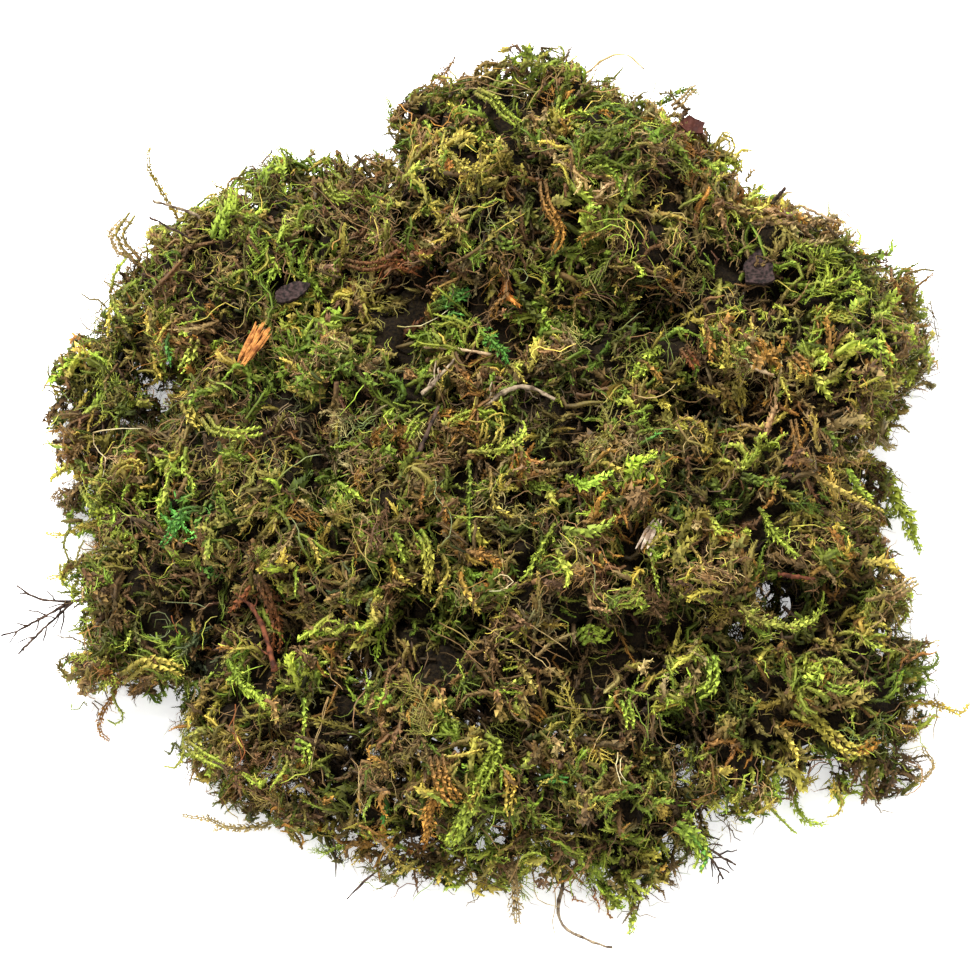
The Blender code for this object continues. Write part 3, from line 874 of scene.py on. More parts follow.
@dataclass
class TintMap:
    """Which tints the moss has where: odds for the whole heap, and patches seen in the photograph."""

    view: PhotoView
    odds: tuple[tuple[Tint, Tint, float], ...] = (
        (Tint.MID, Tint.GREEN, 0.12),
        (Tint.OLIVE, Tint.LIME, 0.10),
        (Tint.MID, Tint.LIME, 0.06),
        (Tint.OLIVE, Tint.YELLOW, 0.11),
        (Tint.BROWN, Tint.OLIVE, 0.18),
        (Tint.UMBER, Tint.BROWN, 0.20),
        (Tint.BROWN, Tint.ORANGE, 0.08),
        (Tint.DEEP, Tint.MID, 0.11),
        (Tint.BROWN, Tint.TAN, 0.04),
    )
    patches: tuple[tuple[int, int, int, str, str], ...] = (
        (225, 208, 26, "GREEN", "LIME"), (130, 245, 20, "OLIVE", "TAN"), (288, 172, 28, "GREEN", "LIME"),
        (335, 175, 22, "BROWN", "OLIVE"), (196, 300, 22, "OLIVE", "YELLOW"), (155, 285, 24, "UMBER", "BROWN"),
        (120, 300, 18, "OLIVE", "LIME"), (125, 365, 22, "BROWN", "ORANGE"), (80, 372, 18, "MID", "GREEN"),
        (72, 420, 26, "UMBER", "BROWN"), (182, 352, 18, "OLIVE", "LIME"), (105, 485, 24, "OLIVE", "LIME"),
        (160, 495, 20, "MID", "LIME"), (185, 530, 18, "MID", "EMERALD"), (120, 560, 26, "OLIVE", "OLIVE"),
        (118, 665, 24, "OLIVE", "LIME"), (185, 625, 24, "DEEP", "SAGE"), (268, 600, 26, "UMBER", "RUST"),
        (245, 680, 22, "GREEN", "LIME"), (300, 735, 24, "BROWN", "OLIVE"), (335, 545, 34, "BROWN", "OLIVE"),
        (350, 610, 26, "DEEP", "SAGE"), (335, 440, 34, "BROWN", "TAN"), (345, 365, 24, "DEEP", "GREEN"),
        (225, 420, 24, "OLIVE", "YELLOW"), (260, 500, 30, "OLIVE", "OLIVE"), (382, 268, 34, "UMBER", "RUST"),
        (350, 215, 26, "UMBER", "BROWN"), (442, 305, 14, "MID", "EMERALD"), (466, 155, 26, "OLIVE", "YELLOW"),
        (500, 82, 28, "UMBER", "BROWN"), (430, 112, 24, "OLIVE", "GREEN"), (545, 215, 22, "BROWN", "ORANGE"),
        (600, 140, 32, "MID", "GREEN"), (625, 235, 24, "GREEN", "LIME"), (700, 195, 30, "OLIVE", "BROWN"),
        (762, 272, 20, "UMBER", "UMBER"), (805, 215, 26, "BROWN", "TAN"), (722, 145, 14, "OLIVE", "YELLOW"),
        (845, 285, 22, "OLIVE", "OLIVE"), (888, 302, 18, "GREEN", "LIME"), (872, 350, 18, "YELLOW", "LIME"),
        (648, 360, 18, "GREEN", "LIME"), (608, 345, 26, "BROWN", "ORANGE"), (692, 362, 18, "UMBER", "RUST"),
        (735, 375, 20, "OLIVE", "YELLOW"), (795, 400, 24, "BROWN", "ORANGE"), (850, 440, 18, "TAN", "PALE"),
        (842, 492, 22, "BROWN", "YELLOW"), (770, 515, 20, "MID", "GREEN"), (680, 452, 28, "BROWN", "OLIVE"),
        (560, 430, 26, "MID", "OLIVE"), (490, 432, 30, "OLIVE", "YELLOW"), (410, 425, 18, "GREEN", "LIME"),
        (425, 560, 20, "OLIVE", "YELLOW"), (470, 585, 20, "BROWN", "ORANGE"), (530, 548, 22, "GREEN", "LIME"),
        (600, 485, 24, "BROWN", "ORANGE"), (520, 645, 46, "UMBER", "BROWN"), (595, 622, 18, "GREEN", "LIME"),
        (700, 675, 26, "GREEN", "LIME"), (560, 725, 26, "BROWN", "OLIVE"), (625, 712, 18, "GREEN", "LIME"),
        (480, 790, 28, "MID", "LIME"), (447, 780, 16, "BROWN", "ORANGE"), (510, 788, 13, "ORANGE", "YELLOW"),
        (385, 695, 18, "GREEN", "LIME"), (560, 855, 26, "MID", "GREEN"), (390, 850, 22, "BROWN", "ORANGE"),
        (625, 860, 20, "UMBER", "BROWN"), (692, 850, 18, "GREEN", "EMERALD"), (838, 728, 24, "MID", "LIME"),
        (772, 755, 20, "MID", "GREEN"), (890, 780, 24, "UMBER", "BROWN"), (885, 690, 24, "OLIVE", "GREEN"),
        (780, 628, 22, "OLIVE", "LIME"), (868, 642, 18, "OLIVE", "YELLOW"), (730, 592, 24, "UMBER", "BROWN"),
        (300, 800, 22, "UMBER", "BROWN"),
    )
    patch_share: float = 0.72

    def pairs(
        self, places: np.ndarray, dice: np.random.Generator, patched: bool = True
    ) -> tuple[np.ndarray, np.ndarray]:
        """Root and tip tints for bunches of shoots.

        Args:
            places: The middles of the bunches, in metres.
            dice: The random numbers.
            patched: Whether the patches of the photograph count.

        Returns:
            Root tints and tip tints, one to a row.
        """
        roots, tips, share = zip(*self.odds)
        share = np.array(share)
        picked = dice.choice(len(share), len(places), p=share / share.sum())
        roots, tips = (np.array([rgb(tint) for tint in tints])[picked] for tints in (roots, tips))
        seen = self.view.pixels(places)
        for across, down, radius, root, tip in self.patches if patched else ():
            near = np.hypot(seen[:, 0] - across, seen[:, 1] - down) < radius
            near &= dice.random(len(places)) < self.patch_share
            roots[near], tips[near] = rgb(Tint[root]), rgb(Tint[tip])
        return roots, tips


@dataclass
class Grower:
    """Grows shoots over the heap: each follows the skin at its own depth, curls, and droops at the sides."""

    heap: HeapField
    tints: TintMap
    seed: int = 51
    seed_floor: float = 0.5 * MM
    seed_low: float = 1.6 * MM
    bunch_size: float = 6.0
    felt_bunch: int = 3
    bunch_spread: float = 0.38
    bunch_heave: float = 1.6 * MM
    loner_share: float = 0.18
    knots: int = 330
    knot_radius: float = 6 * MM
    knot_spread: tuple[float, float] = (0.5, 1.3)
    felt_tints: tuple[tuple[Tint, Tint], ...] = (
        (Tint.UMBER, Tint.BROWN),
        (Tint.BROWN, Tint.TAN),
        (Tint.BROWN, Tint.OLIVE),
        (Tint.DEEP, Tint.SAGE),
        (Tint.UMBER, Tint.TAN),
    )
    felt_mix: tuple[float, float] = (0.3, 0.7)
    rim_lean: float = 0.55
    rim_height: float = 12 * MM
    rim_turn: float = 1.15
    heap_radius: float = 150 * MM
    batch: int = 2000
    start_share: float = 0.45
    depth_shake: float = 0.7 * MM
    reach_out: float = 9.0 * MM
    bulk_spread: float = 0.24
    light_spread: float = 0.24
    shadow_depth: float = 8 * MM
    least_light: float = 0.3
    droop: float = 0.35
    droop_from: float = 2 * MM
    droop_over: float = 3 * MM
    swing: tuple[float, float] = (0.5, 1.6)
    least_bend: float = 0.6
    weave: float = 5.5
    ease: float = 1.6
    steepest: float = 0.9
    crinkle: float = 0.32 * MM
    bulks: tuple[float, float] = (0.7, 1.3)
    leaf_shape: tuple[float, float, float, float] = (0.66, 0.36, 1.1, 0.34)
    stem_shape: tuple[float, float, float] = (0.8, 0.3, 0.5)
    stem_spread: tuple[float, float] = (0.75, 1.2)
    deep_shade: tuple[float, float] = (0.45, 0.5)
    woody_shares: tuple[float, float] = (0.5, 0.7)
    woody_root: float = 0.6
    woody_tips: tuple[float, float] = (0.3, 1.4)
    shade_spread: float = 0.14
    hue_spread: float = 0.06
    blend_power: float = 0.8
    flat_share: float = 0.2
    tint_limits: tuple[float, float] = (0.002, 0.9)
    barb_points: int = 4
    barb_from: float = 0.16
    barb_span: float = 0.76
    barb_angles: tuple[float, float] = (0.75, 1.1)
    barb_lengths: tuple[float, float] = (3.0, 6.0)
    barb_swell: tuple[float, float] = (0.25, 0.7)
    barb_bend: float = 0.35
    barb_droop: float = 0.4
    barb_shake: float = 0.12 * MM
    barb_stem: float = 0.16 * MM
    barb_leaf: float = 0.95 * MM
    barb_gap: float = 0.5 * MM
    barb_fade: float = 0.55
    barb_tints: tuple[float, float] = (0.85, 1.1)
    floor_gap: float = 1.9 * MM
    ceiling: float = 6.0 * MM

    def walk(
        self, roots: np.ndarray, headings: np.ndarray, lengths: np.ndarray, depths: np.ndarray,
        curls: np.ndarray, count: int, dice: np.random.Generator,
    ) -> np.ndarray:
        """Lays paths over the skin.

        Args:
            roots: Where they start, one to a row.
            headings: The ways they set off.
            lengths: Their lengths in metres.
            depths: For each, its distance outside the skin at root, middle and tip.
            curls: How far each turns, in radians per metre.
            count: How many points each has.
            dice: The random numbers.

        Returns:
            The paths, as shoots by points by three.
        """
        total = len(roots)
        place, way = roots.copy(), headings.copy()
        paths = [place.copy()]
        phase = dice.uniform(0, math.tau, total)
        swing = dice.uniform(*self.swing, total)
        step = lengths / (count - 1)
        slopes = np.diff(depths, axis=1)
        for index in range(1, count):
            part = (index - 0.5) / (count - 1)
            distance, out = self.heap.read(place)
            first, second = np.clip(2 * part, 0, 1), np.clip(2 * part - 1, 0, 1)
            wanted = depths[:, 0] + slopes[:, 0] * first + slopes[:, 1] * second
            along = unit(way - (way * out).sum(1, keepdims=True) * out)
            side = np.cross(out, along)
            bend = step * curls * (self.least_bend + swing * np.sin(phase + self.weave * part))
            along = along * np.cos(bend)[:, None] + side * np.sin(bend)[:, None]
            rise = (wanted - distance) / np.maximum(step * self.ease, 1e-6)
            rise = np.clip(rise, -self.steepest, self.steepest)
            free = np.clip((distance + self.droop_from) / self.droop_over, 0, 1)
            steep = np.clip(1 - out[:, 2], 0, 1) * free
            way = along + out * rise[:, None]
            way[:, 2] -= self.droop * steep
            way = unit(way)
            place = place + way * step[:, None]
            place[:, 2] = np.maximum(place[:, 2], self.floor_gap)
            paths.append(place.copy())
        path = np.stack(paths, 1)
        shake = dice.normal(0, self.crinkle, path.shape)
        shake[:, 0] = 0
        path += shake
        path[:, :, 2] = np.maximum(path[:, :, 2], self.floor_gap)
        return path

    def seeds(self, per_mm2: float, dice: np.random.Generator) -> tuple[np.ndarray, np.ndarray, np.ndarray]:
        """Spots on the skin of the heap.

        Args:
            per_mm2: Spots per square millimetre.
            dice: The random numbers.

        Returns:
            Their places, outward directions and the number of the tuft that each is on.
        """
        points, faces = self.heap.skin(0.0, self.seed_floor)
        corners = points[faces]
        across, along = corners[:, 2] - corners[:, 0], corners[:, 3] - corners[:, 1]
        area = np.linalg.norm(np.cross(across, along), axis=1) / 2
        area[corners[:, :, 2].max(1) < self.seed_low] = 0
        picked = dice.choice(len(area), int(area.sum() / MM**2 * per_mm2), p=area / area.sum())
        first, second = dice.random((2, len(picked), 1))
        quad = corners[picked]
        place = (quad[:, 0] * (1 - first) + quad[:, 1] * first) * (1 - second)
        place += (quad[:, 3] * (1 - first) + quad[:, 2] * first) * second
        return place, self.heap.read(place)[1], self.heap.owner(place)

    def grow(self, habit: Habit) -> tuple[Strands, np.ndarray]:
        """Grows every shoot of one habit.

        Args:
            habit: How they grow.

        Returns:
            The shoots, and the number of the tuft that each belongs to.
        """
        density, shortest, longest, _, _, _, low, middle, high, curl, count, _ = habit.value
        dice = np.random.default_rng(self.seed + 17 * list(Habit).index(habit))
        place, out, owner = self.seeds(density, dice)
        if habit in (Habit.EDGE, Habit.RIM):
            rim = (out[:, 2] < self.rim_lean) | (place[:, 2] < self.rim_height)
            place, out, owner = (rows[rim] for rows in (place, out, owner))
        if habit is Habit.FUZZ:
            knots = place[dice.choice(len(place), self.knots, replace=False)]
            near = np.zeros(len(place), bool)
            for knot in knots:
                radius = self.knot_radius * dice.uniform(*self.knot_spread)
                near |= ((place - knot) ** 2).sum(1) < radius**2
            place, out, owner = (rows[near] for rows in (place, out, owner))
        total = len(place)
        bunches = max(int(total / (self.bunch_size * (self.felt_bunch if habit is Habit.FUZZ else 1))), 1)
        heads = dice.choice(total, bunches, replace=False)
        nearest = np.empty(total, int)
        for start in range(0, total, self.batch):
            batch = slice(start, start + self.batch)
            nearest[batch] = ((place[batch, None] - place[heads][None]) ** 2).sum(-1).argmin(1)
        bunch_way = unit(dice.normal(size=(bunches, 3)))
        away = place[heads] * np.array([1.0, 1.0, 0.0])
        rim = np.clip(np.linalg.norm(away, axis=1) / self.heap_radius, 0, 1)[:, None]
        bunch_way = unit(bunch_way * (self.rim_turn - rim**2) + unit(away) * rim**3)
        roots_tint, tips_tint = self.tints.pairs(place[heads], dice)
        if habit is Habit.FUZZ:
            kinds = np.array([[rgb(tint) for tint in pair] for pair in self.felt_tints])
            picked = kinds[dice.integers(len(kinds), size=bunches)]
            own, felted = self.felt_mix
            roots_tint = own * roots_tint + felted * picked[:, 0]
            tips_tint = own * tips_tint + felted * picked[:, 1]
        roots_tint, tips_tint = roots_tint[nearest], tips_tint[nearest]
        loner = dice.random(total) < self.loner_share
        roots_tint[loner], tips_tint[loner] = self.tints.pairs(place[loner], dice, False)
        heave = dice.normal(0, self.bunch_heave, bunches)[nearest]
        way = unit(bunch_way[nearest] + self.bunch_spread * dice.normal(size=(total, 3)))
        way = unit(way - (way * out).sum(1, keepdims=True) * out)
        length = dice.uniform(shortest, longest, total) * MM
        shake = dice.normal(0, self.depth_shake, (total, 3))
        depths = np.array([low, middle, high]) * MM + heave[:, None] + shake
        depths = np.minimum(depths, self.reach_out if habit in (Habit.EDGE, Habit.RIM) else self.ceiling)
        sunk = depths[:, :1] - self.heap.read(place)[0][:, None]
        start = place + out * sunk - way * length[:, None] * self.start_share
        start[:, 2] = np.maximum(start[:, 2], self.floor_gap)
        curls = dice.normal(0, curl * 1000, total)
        paths = self.walk(start, way, length, depths, curls, count, dice)
        bulk = dice.lognormal(0, self.bulk_spread, bunches)[nearest]
        light = dice.lognormal(0, self.light_spread, (bunches, 1))[nearest]
        return self.dressed(habit, paths, roots_tint * light, tips_tint * light, bulk, dice), owner

    def dressed(
        self, habit: Habit, paths: np.ndarray, roots: np.ndarray, tips: np.ndarray, bulk: np.ndarray,
        dice: np.random.Generator,
    ) -> Strands:
        """Gives paths their stems, leaves and tints.

        Args:
            habit: How they grow.
            paths: The paths.
            roots: Their root tints.
            tips: Their tip tints.
            bulk: How thick each is, against the others of its habit.
            dice: The random numbers.

        Returns:
            The shoots.
        """
        _, _, _, stem, least, most, *_, gap = habit.value
        total, count = paths.shape[:2]
        part = np.linspace(0, 1, count)[None]
        bulk = np.clip(bulk, *self.bulks)[:, None]
        size = dice.uniform(least, most, total)[:, None] * MM * bulk
        base, swell, early, taper = self.leaf_shape
        leaf = size * (base + swell * np.sin(math.pi * np.clip(part * early, 0, 1)) - taper * part**4)
        base, swell, taper = self.stem_shape
        radius = stem * MM * bulk * dice.uniform(*self.stem_spread, total)[:, None]
        radius = radius * (base + swell * np.sin(math.pi * part) - taper * part**2)
        # Deep shoots are darkened as painted shade for their place deep in the heap, and as darker dead moss.
        if habit is Habit.DEEP:
            roots, tips = roots * self.deep_shade[0], tips * self.deep_shade[1]
        if habit in (Habit.BARE, Habit.RIM):
            woody = (dice.random(total) < self.woody_shares[habit is Habit.RIM])[:, None]
            roots = np.where(woody, rgb(Tint.UMBER) * self.woody_root, roots)
            tips = np.where(woody, rgb(Tint.BROWN) * dice.uniform(*self.woody_tips, (total, 1)), tips)
        shift = dice.normal(0, self.shade_spread, (total, 1)) + dice.normal(0, self.hue_spread, (total, 3))
        blend = part[..., None] ** self.blend_power
        tint = (roots[:, None] * (1 - blend) + tips[:, None] * blend) * (1 + shift[:, None])
        # Painted shade: tints darken with depth under the smooth skin, down to least_light, partly also for
        # the darker dead moss low down.
        sunk = self.heap.sunk(paths.reshape(-1, 3)).reshape(total, count, 1)
        tint *= np.clip(1 - sunk / self.shadow_depth, self.least_light, 1)
        turn = np.where(dice.random(total) < self.flat_share, math.pi, GOLDEN_ANGLE)
        leafy = np.full(total, float(most > 0))
        plump = leafy * (habit is not Habit.FEATHER)
        tint, gaps = np.clip(tint, *self.tint_limits), np.full(total, gap * MM)
        return Strands(paths, radius, leaf, tint, leafy, turn, plump, gaps)

    def branched(self, mains: Strands, dice: np.random.Generator, pairs: int = 6) -> Strands:
        """Side branches in two rows, like the barbs of a feather.

        Args:
            mains: The main shoots.
            dice: The random numbers.
            pairs: Branches on each side.

        Returns:
            The branches.
        """
        total, count = mains.points.shape[:2]
        points = self.barb_points
        steps = np.linspace(0, 1, points)[None, :, None]
        found = []
        for index in range(2 * pairs):
            part = self.barb_from + self.barb_span * index / (2 * pairs)
            spot = part * (count - 1)
            low = int(spot)
            share = spot - low
            at = mains.points[:, low] * (1 - share) + mains.points[:, low + 1] * share
            ahead = unit(mains.points[:, low + 1] - mains.points[:, low])
            _, out = self.heap.read(at)
            side = unit(np.cross(out, ahead)) * (1 if index % 2 else -1)
            angle = dice.uniform(*self.barb_angles, total)[:, None]
            swell = math.sin(math.pi * (self.barb_swell[0] + self.barb_swell[1] * part))
            reach = dice.uniform(*self.barb_lengths, total)[:, None] * MM * swell
            way = ahead * np.cos(angle) + side * np.sin(angle)
            path = at[:, None] + steps * reach[:, None] * way[:, None]
            path += (steps**2) * (self.barb_bend * reach[:, None]) * (ahead - self.barb_droop * out)[:, None]
            path += dice.normal(0, self.barb_shake, path.shape) * (steps > 0)
            found.append(path)
        paths = np.concatenate(found)
        paths[:, :, 2] = np.maximum(paths[:, :, 2], self.floor_gap)
        rows = len(paths)
        fade = np.linspace(1, self.barb_fade, points)[None]
        tip = np.tile(mains.tint[:, -2], (2 * pairs, 1))
        return Strands(
            paths,
            np.full((rows, points), self.barb_stem) * fade,
            np.full((rows, points), self.barb_leaf) * fade,
            np.repeat(tip[:, None], points, 1) * np.linspace(*self.barb_tints, points)[None, :, None],
            np.ones(rows),
            np.full(rows, math.pi),
            np.zeros(rows),
            np.full(rows, self.barb_gap),
        )


class PathLayer(Layer):
    """Nodes that read and write the numbers of paths, stems and leaves."""

    def named(self, name: str) -> bpy.types.Node:
        """Reads a number that the geometry carries."""
        return self.add("GeometryNodeInputNamedAttribute", {"Name": name}, data_type="FLOAT")

    def store(self, geometry: object, domain: str, label: str, value: bpy.types.Node) -> bpy.types.Node:
        """Stores a number on stems or leaves.

        Args:
            geometry: The geometry.
            domain: What of it takes the number.
            label: The number's name.
            value: The number.

        Returns:
            The node with the geometry.
        """
        inputs = {"Name": label, "Geometry": geometry, "Value": value}
        return self.add("GeometryNodeStoreNamedAttribute", inputs, data_type="FLOAT", domain=domain)

    def split(self, curves: bpy.types.Node, label: str) -> bpy.types.Node:
        """Parts the curves whose number is under a half from the rest.

        Args:
            curves: The curves.
            label: The number's name.

        Returns:
            The node, with the curves under a half as its selection.
        """
        inputs = {"A": self.named(label), "B": 0.5}
        test = self.add("FunctionNodeCompare", inputs, data_type="FLOAT", operation="LESS_THAN")
        inputs = {"Geometry": curves, "Selection": test}
        return self.add("GeometryNodeSeparateGeometry", inputs, domain="CURVE")

    def chance(self, low: float, high: float, seed: int) -> bpy.types.Node:
        """A random number between two others."""
        inputs = {"Min": low, "Max": high, "Seed": seed}
        return self.add("FunctionNodeRandomValue", inputs, data_type="FLOAT")

    def reckon(self, operation: str, *numbers: object) -> bpy.types.Node:
        """The result of an operation on up to three numbers."""
        return self.add("ShaderNodeMath", dict(enumerate(numbers)), operation=operation)


@dataclass
class ShootTree:
    """The Geometry Nodes that turn paths into stems with a leaf at every step."""

    sides: int = 3
    least_leaf: float = 0.7
    greatest_leaf: float = 1.25
    leaf_shades: tuple[float, float] = (0.7, 1.3)
    wobble: float = 0.4
    lean: float = 36.0
    leaf_base: tuple[float, float, float] = (0.4, 0.42, 0.14)
    # Painted light: leafy stem cores and leaf bases are darkened as painted shade, and leaf tips are
    # brightened as a painted highlight.
    core_shade: float = 0.62
    base_shade: tuple[float, float] = (0.6, 0.8)
    tip_shade: float = 1.25
    seed: int = 7
    tree: bpy.types.NodeTree = field(init=False)
    leaf: bpy.types.Object = field(init=False)

    def build(self) -> None:
        """Builds the node tree and the leaf that it sets."""
        self.leaf = self.make_leaf()
        tree = self.tree = bpy.data.node_groups.new("moss_shoots", "GeometryNodeTree")
        for name, way, kind in (
            ("Geometry", "INPUT", "Geometry"),
            ("Leaf", "INPUT", "Object"),
            ("Stem sides", "INPUT", "Int"),
            ("Finish", "INPUT", "Material"),
            ("Geometry", "OUTPUT", "Geometry"),
        ):
            tree.interface.new_socket(name, in_out=way, socket_type="NodeSocket" + kind)
        nodes = PathLayer(tree)
        start = nodes.add("NodeGroupInput").outputs
        curve = nodes.add("GeometryNodeMeshToCurve", {"Mesh": start["Geometry"]})
        stems = self.stems(nodes, nodes.split(curve, "plump").outputs, start["Stem sides"])
        leaves = self.leaves(nodes, nodes.split(curve, "leafy").outputs["Inverted"], start["Leaf"])
        both = nodes.add("GeometryNodeJoinGeometry", {"Geometry": leaves})
        nodes.feed(both, {"Geometry": stems})
        plain = nodes.add("GeometryNodeRealizeInstances", {"Geometry": both})
        finish = nodes.add("GeometryNodeSetMaterial", {"Geometry": plain, "Material": start["Finish"]})
        nodes.add("NodeGroupOutput", {"Geometry": finish})

    def stems(self, nodes: PathLayer, curves: Iterable[Socket], sides: Socket) -> bpy.types.Node:
        """Sweeps a ring along plump stems and a flat strap along thin ones.

        Args:
            nodes: Where the nodes go.
            curves: The thin curves as the selection, and the plump ones.
            sides: How many sides a plump stem has.

        Returns:
            The node with the stems and their shade, which darkens leafy stems as painted shade.
        """
        size = {"Resolution": sides, "Radius": 1.0}
        ring = nodes.add("GeometryNodeCurvePrimitiveCircle", size, mode="RADIUS")
        ends = {"Start": (-1.0, 0.0, 0.0), "End": (1.0, 0.0, 0.0)}
        strap = nodes.add("GeometryNodeCurvePrimitiveLine", ends, mode="POINTS")
        stems = nodes.add("GeometryNodeJoinGeometry")
        for source, profile, capped in (("Inverted", ring, True), ("Selection", strap, False)):
            swept = {"Curve": curves[source], "Profile Curve": profile, "Fill Caps": capped}
            swept["Scale"] = nodes.named("stem")
            nodes.feed(stems, {"Geometry": nodes.add("GeometryNodeCurveToMesh", swept)})
        # Leafy stems are darkened as painted shade, lying in the shade between their leaves; bare stems keep a
        # shade of 1.
        core = nodes.reckon("MULTIPLY_ADD", nodes.named("leafy"), self.core_shade - 1, 1.0)
        return nodes.store(stems, "POINT", "shade", core)

    def leaves(self, nodes: PathLayer, curves: Socket, leaf: Socket) -> bpy.types.Node:
        """Sets a leaf at every step of the leafy curves, each turned on from the last.

        Args:
            nodes: Where the nodes go.
            curves: The leafy curves.
            leaf: The leaf object.

        Returns:
            The node with the leaves and their shade: a random tone times painted shade at the leaf base and a
                painted highlight at its tip.
        """
        spaced = {"Curve": curves, "Length": nodes.named("gap")}
        steps = nodes.add("GeometryNodeResampleCurve", spaced, mode="LENGTH")
        axes = nodes.add("FunctionNodeAxesToRotation", {
            "Primary Axis": nodes.add("GeometryNodeInputTangent"),
            "Secondary Axis": nodes.add("GeometryNodeInputNormal"),
        }, primary_axis="Z", secondary_axis="X")
        wobble = nodes.chance(-self.wobble, self.wobble, self.seed)
        roll = nodes.reckon("MULTIPLY_ADD", nodes.add("GeometryNodeInputIndex"), nodes.named("turn"), wobble)
        spin = nodes.add("FunctionNodeAxisAngleToRotation", {"Axis": tuple(UP), "Angle": roll})
        turns = {"Rotation": axes, "Rotate By": spin}
        growth = nodes.chance(self.least_leaf, self.greatest_leaf, self.seed + 1)
        shape = nodes.add("GeometryNodeObjectInfo", {"Object": leaf, "As Instance": True})
        leaves = nodes.add("GeometryNodeInstanceOnPoints", {
            "Points": steps,
            "Instance": shape.outputs["Geometry"],
            "Rotation": nodes.add("FunctionNodeRotateRotation", turns, rotation_space="LOCAL"),
            "Scale": nodes.reckon("MULTIPLY", nodes.named("leaf"), growth),
        })
        lots = nodes.store(leaves, "INSTANCE", "lot", nodes.chance(*self.leaf_shades, self.seed + 2))
        real = nodes.add("GeometryNodeRealizeInstances", {"Geometry": lots})
        # The number along holds painted shade at the leaf base and a painted highlight at its tip.
        shade = nodes.reckon("MULTIPLY", nodes.named("lot"), nodes.named("along"))
        return nodes.store(real, "POINT", "shade", shade)

    def make_leaf(self) -> bpy.types.Object:
        """Makes one leaf of unit length: a narrow triangle that leans off the stem and forward.

        Returns:
            The leaf object, which isn't rendered.
        """
        lean, (out, half, up) = math.radians(self.lean), self.leaf_base
        corners = [(out, -half, 0.0), (out, half, up), (out + math.sin(lean), 0.0, math.cos(lean))]
        mesh = bpy.data.meshes.new("leaf")
        mesh.from_pydata(corners, [], [(0, 1, 2)])
        # The leaf's corners carry painted shade at its base and a painted highlight at its tip.
        carry(mesh, "along", np.array([*self.base_shade, self.tip_shade]))
        leaf = linked("leaf", mesh)
        leaf.hide_render = True
        return leaf

    def socket(self, name: str) -> str:
        """The identifier of a named input."""
        items = self.tree.interface.items_tree
        return next(item.identifier for item in items if item.in_out == "INPUT" and item.name == name)

    def sprout(self, name: str, sets: list[Strands], finish: bpy.types.Material) -> bpy.types.Mesh:
        """Makes the mesh of some shoots.

        Args:
            name: What it is called.
            sets: The shoots.
            finish: Their material.

        Returns:
            A plain mesh with the attributes tint and shade.
        """
        mesh = bpy.data.meshes.new(name)
        points = np.concatenate([strands.points.reshape(-1, 3) for strands in sets])
        ends, first = [], 0
        for strands in sets:
            total, count = strands.points.shape[:2]
            index = first + np.arange(total * count).reshape(total, count)
            ends.append(np.stack([index[:, :-1].ravel(), index[:, 1:].ravel()], 1))
            first += total * count
        edges = np.concatenate(ends)
        mesh.vertices.add(len(points))
        mesh.edges.add(len(edges))
        mesh.vertices.foreach_set("co", points.astype(np.float32).ravel())
        mesh.edges.foreach_set("vertices", edges.astype(np.int32).ravel())
        for label in ("stem", "leaf", "leafy", "turn", "plump", "gap"):
            carry(mesh, label, np.concatenate([strands.spread(label) for strands in sets]))
        carry(mesh, "tint", np.concatenate([strands.tint.reshape(-1, 3) for strands in sets]))
        mesh.update()
        holder = linked(name, mesh)
        modifier = holder.modifiers.new("shoots", "NODES")
        modifier.node_group = self.tree
        for label, value in (("Leaf", self.leaf), ("Stem sides", self.sides), ("Finish", finish)):
            modifier[self.socket(label)] = value
        holder.update_tag()
        graph = bpy.context.evaluated_depsgraph_get()
        grown = holder.evaluated_get(graph)
        made = bpy.data.meshes.new_from_object(grown, preserve_all_data_layers=True, depsgraph=graph)
        holder.modifiers.clear()
        bpy.data.objects.remove(holder)
        bpy.data.meshes.remove(mesh)
        return made


def read(source: bpy.types.bpy_prop_collection, key: str, values: np.ndarray) -> np.ndarray:
    """Fills an array with what the parts of a mesh hold."""
    source.foreach_get(key, values)
    return values


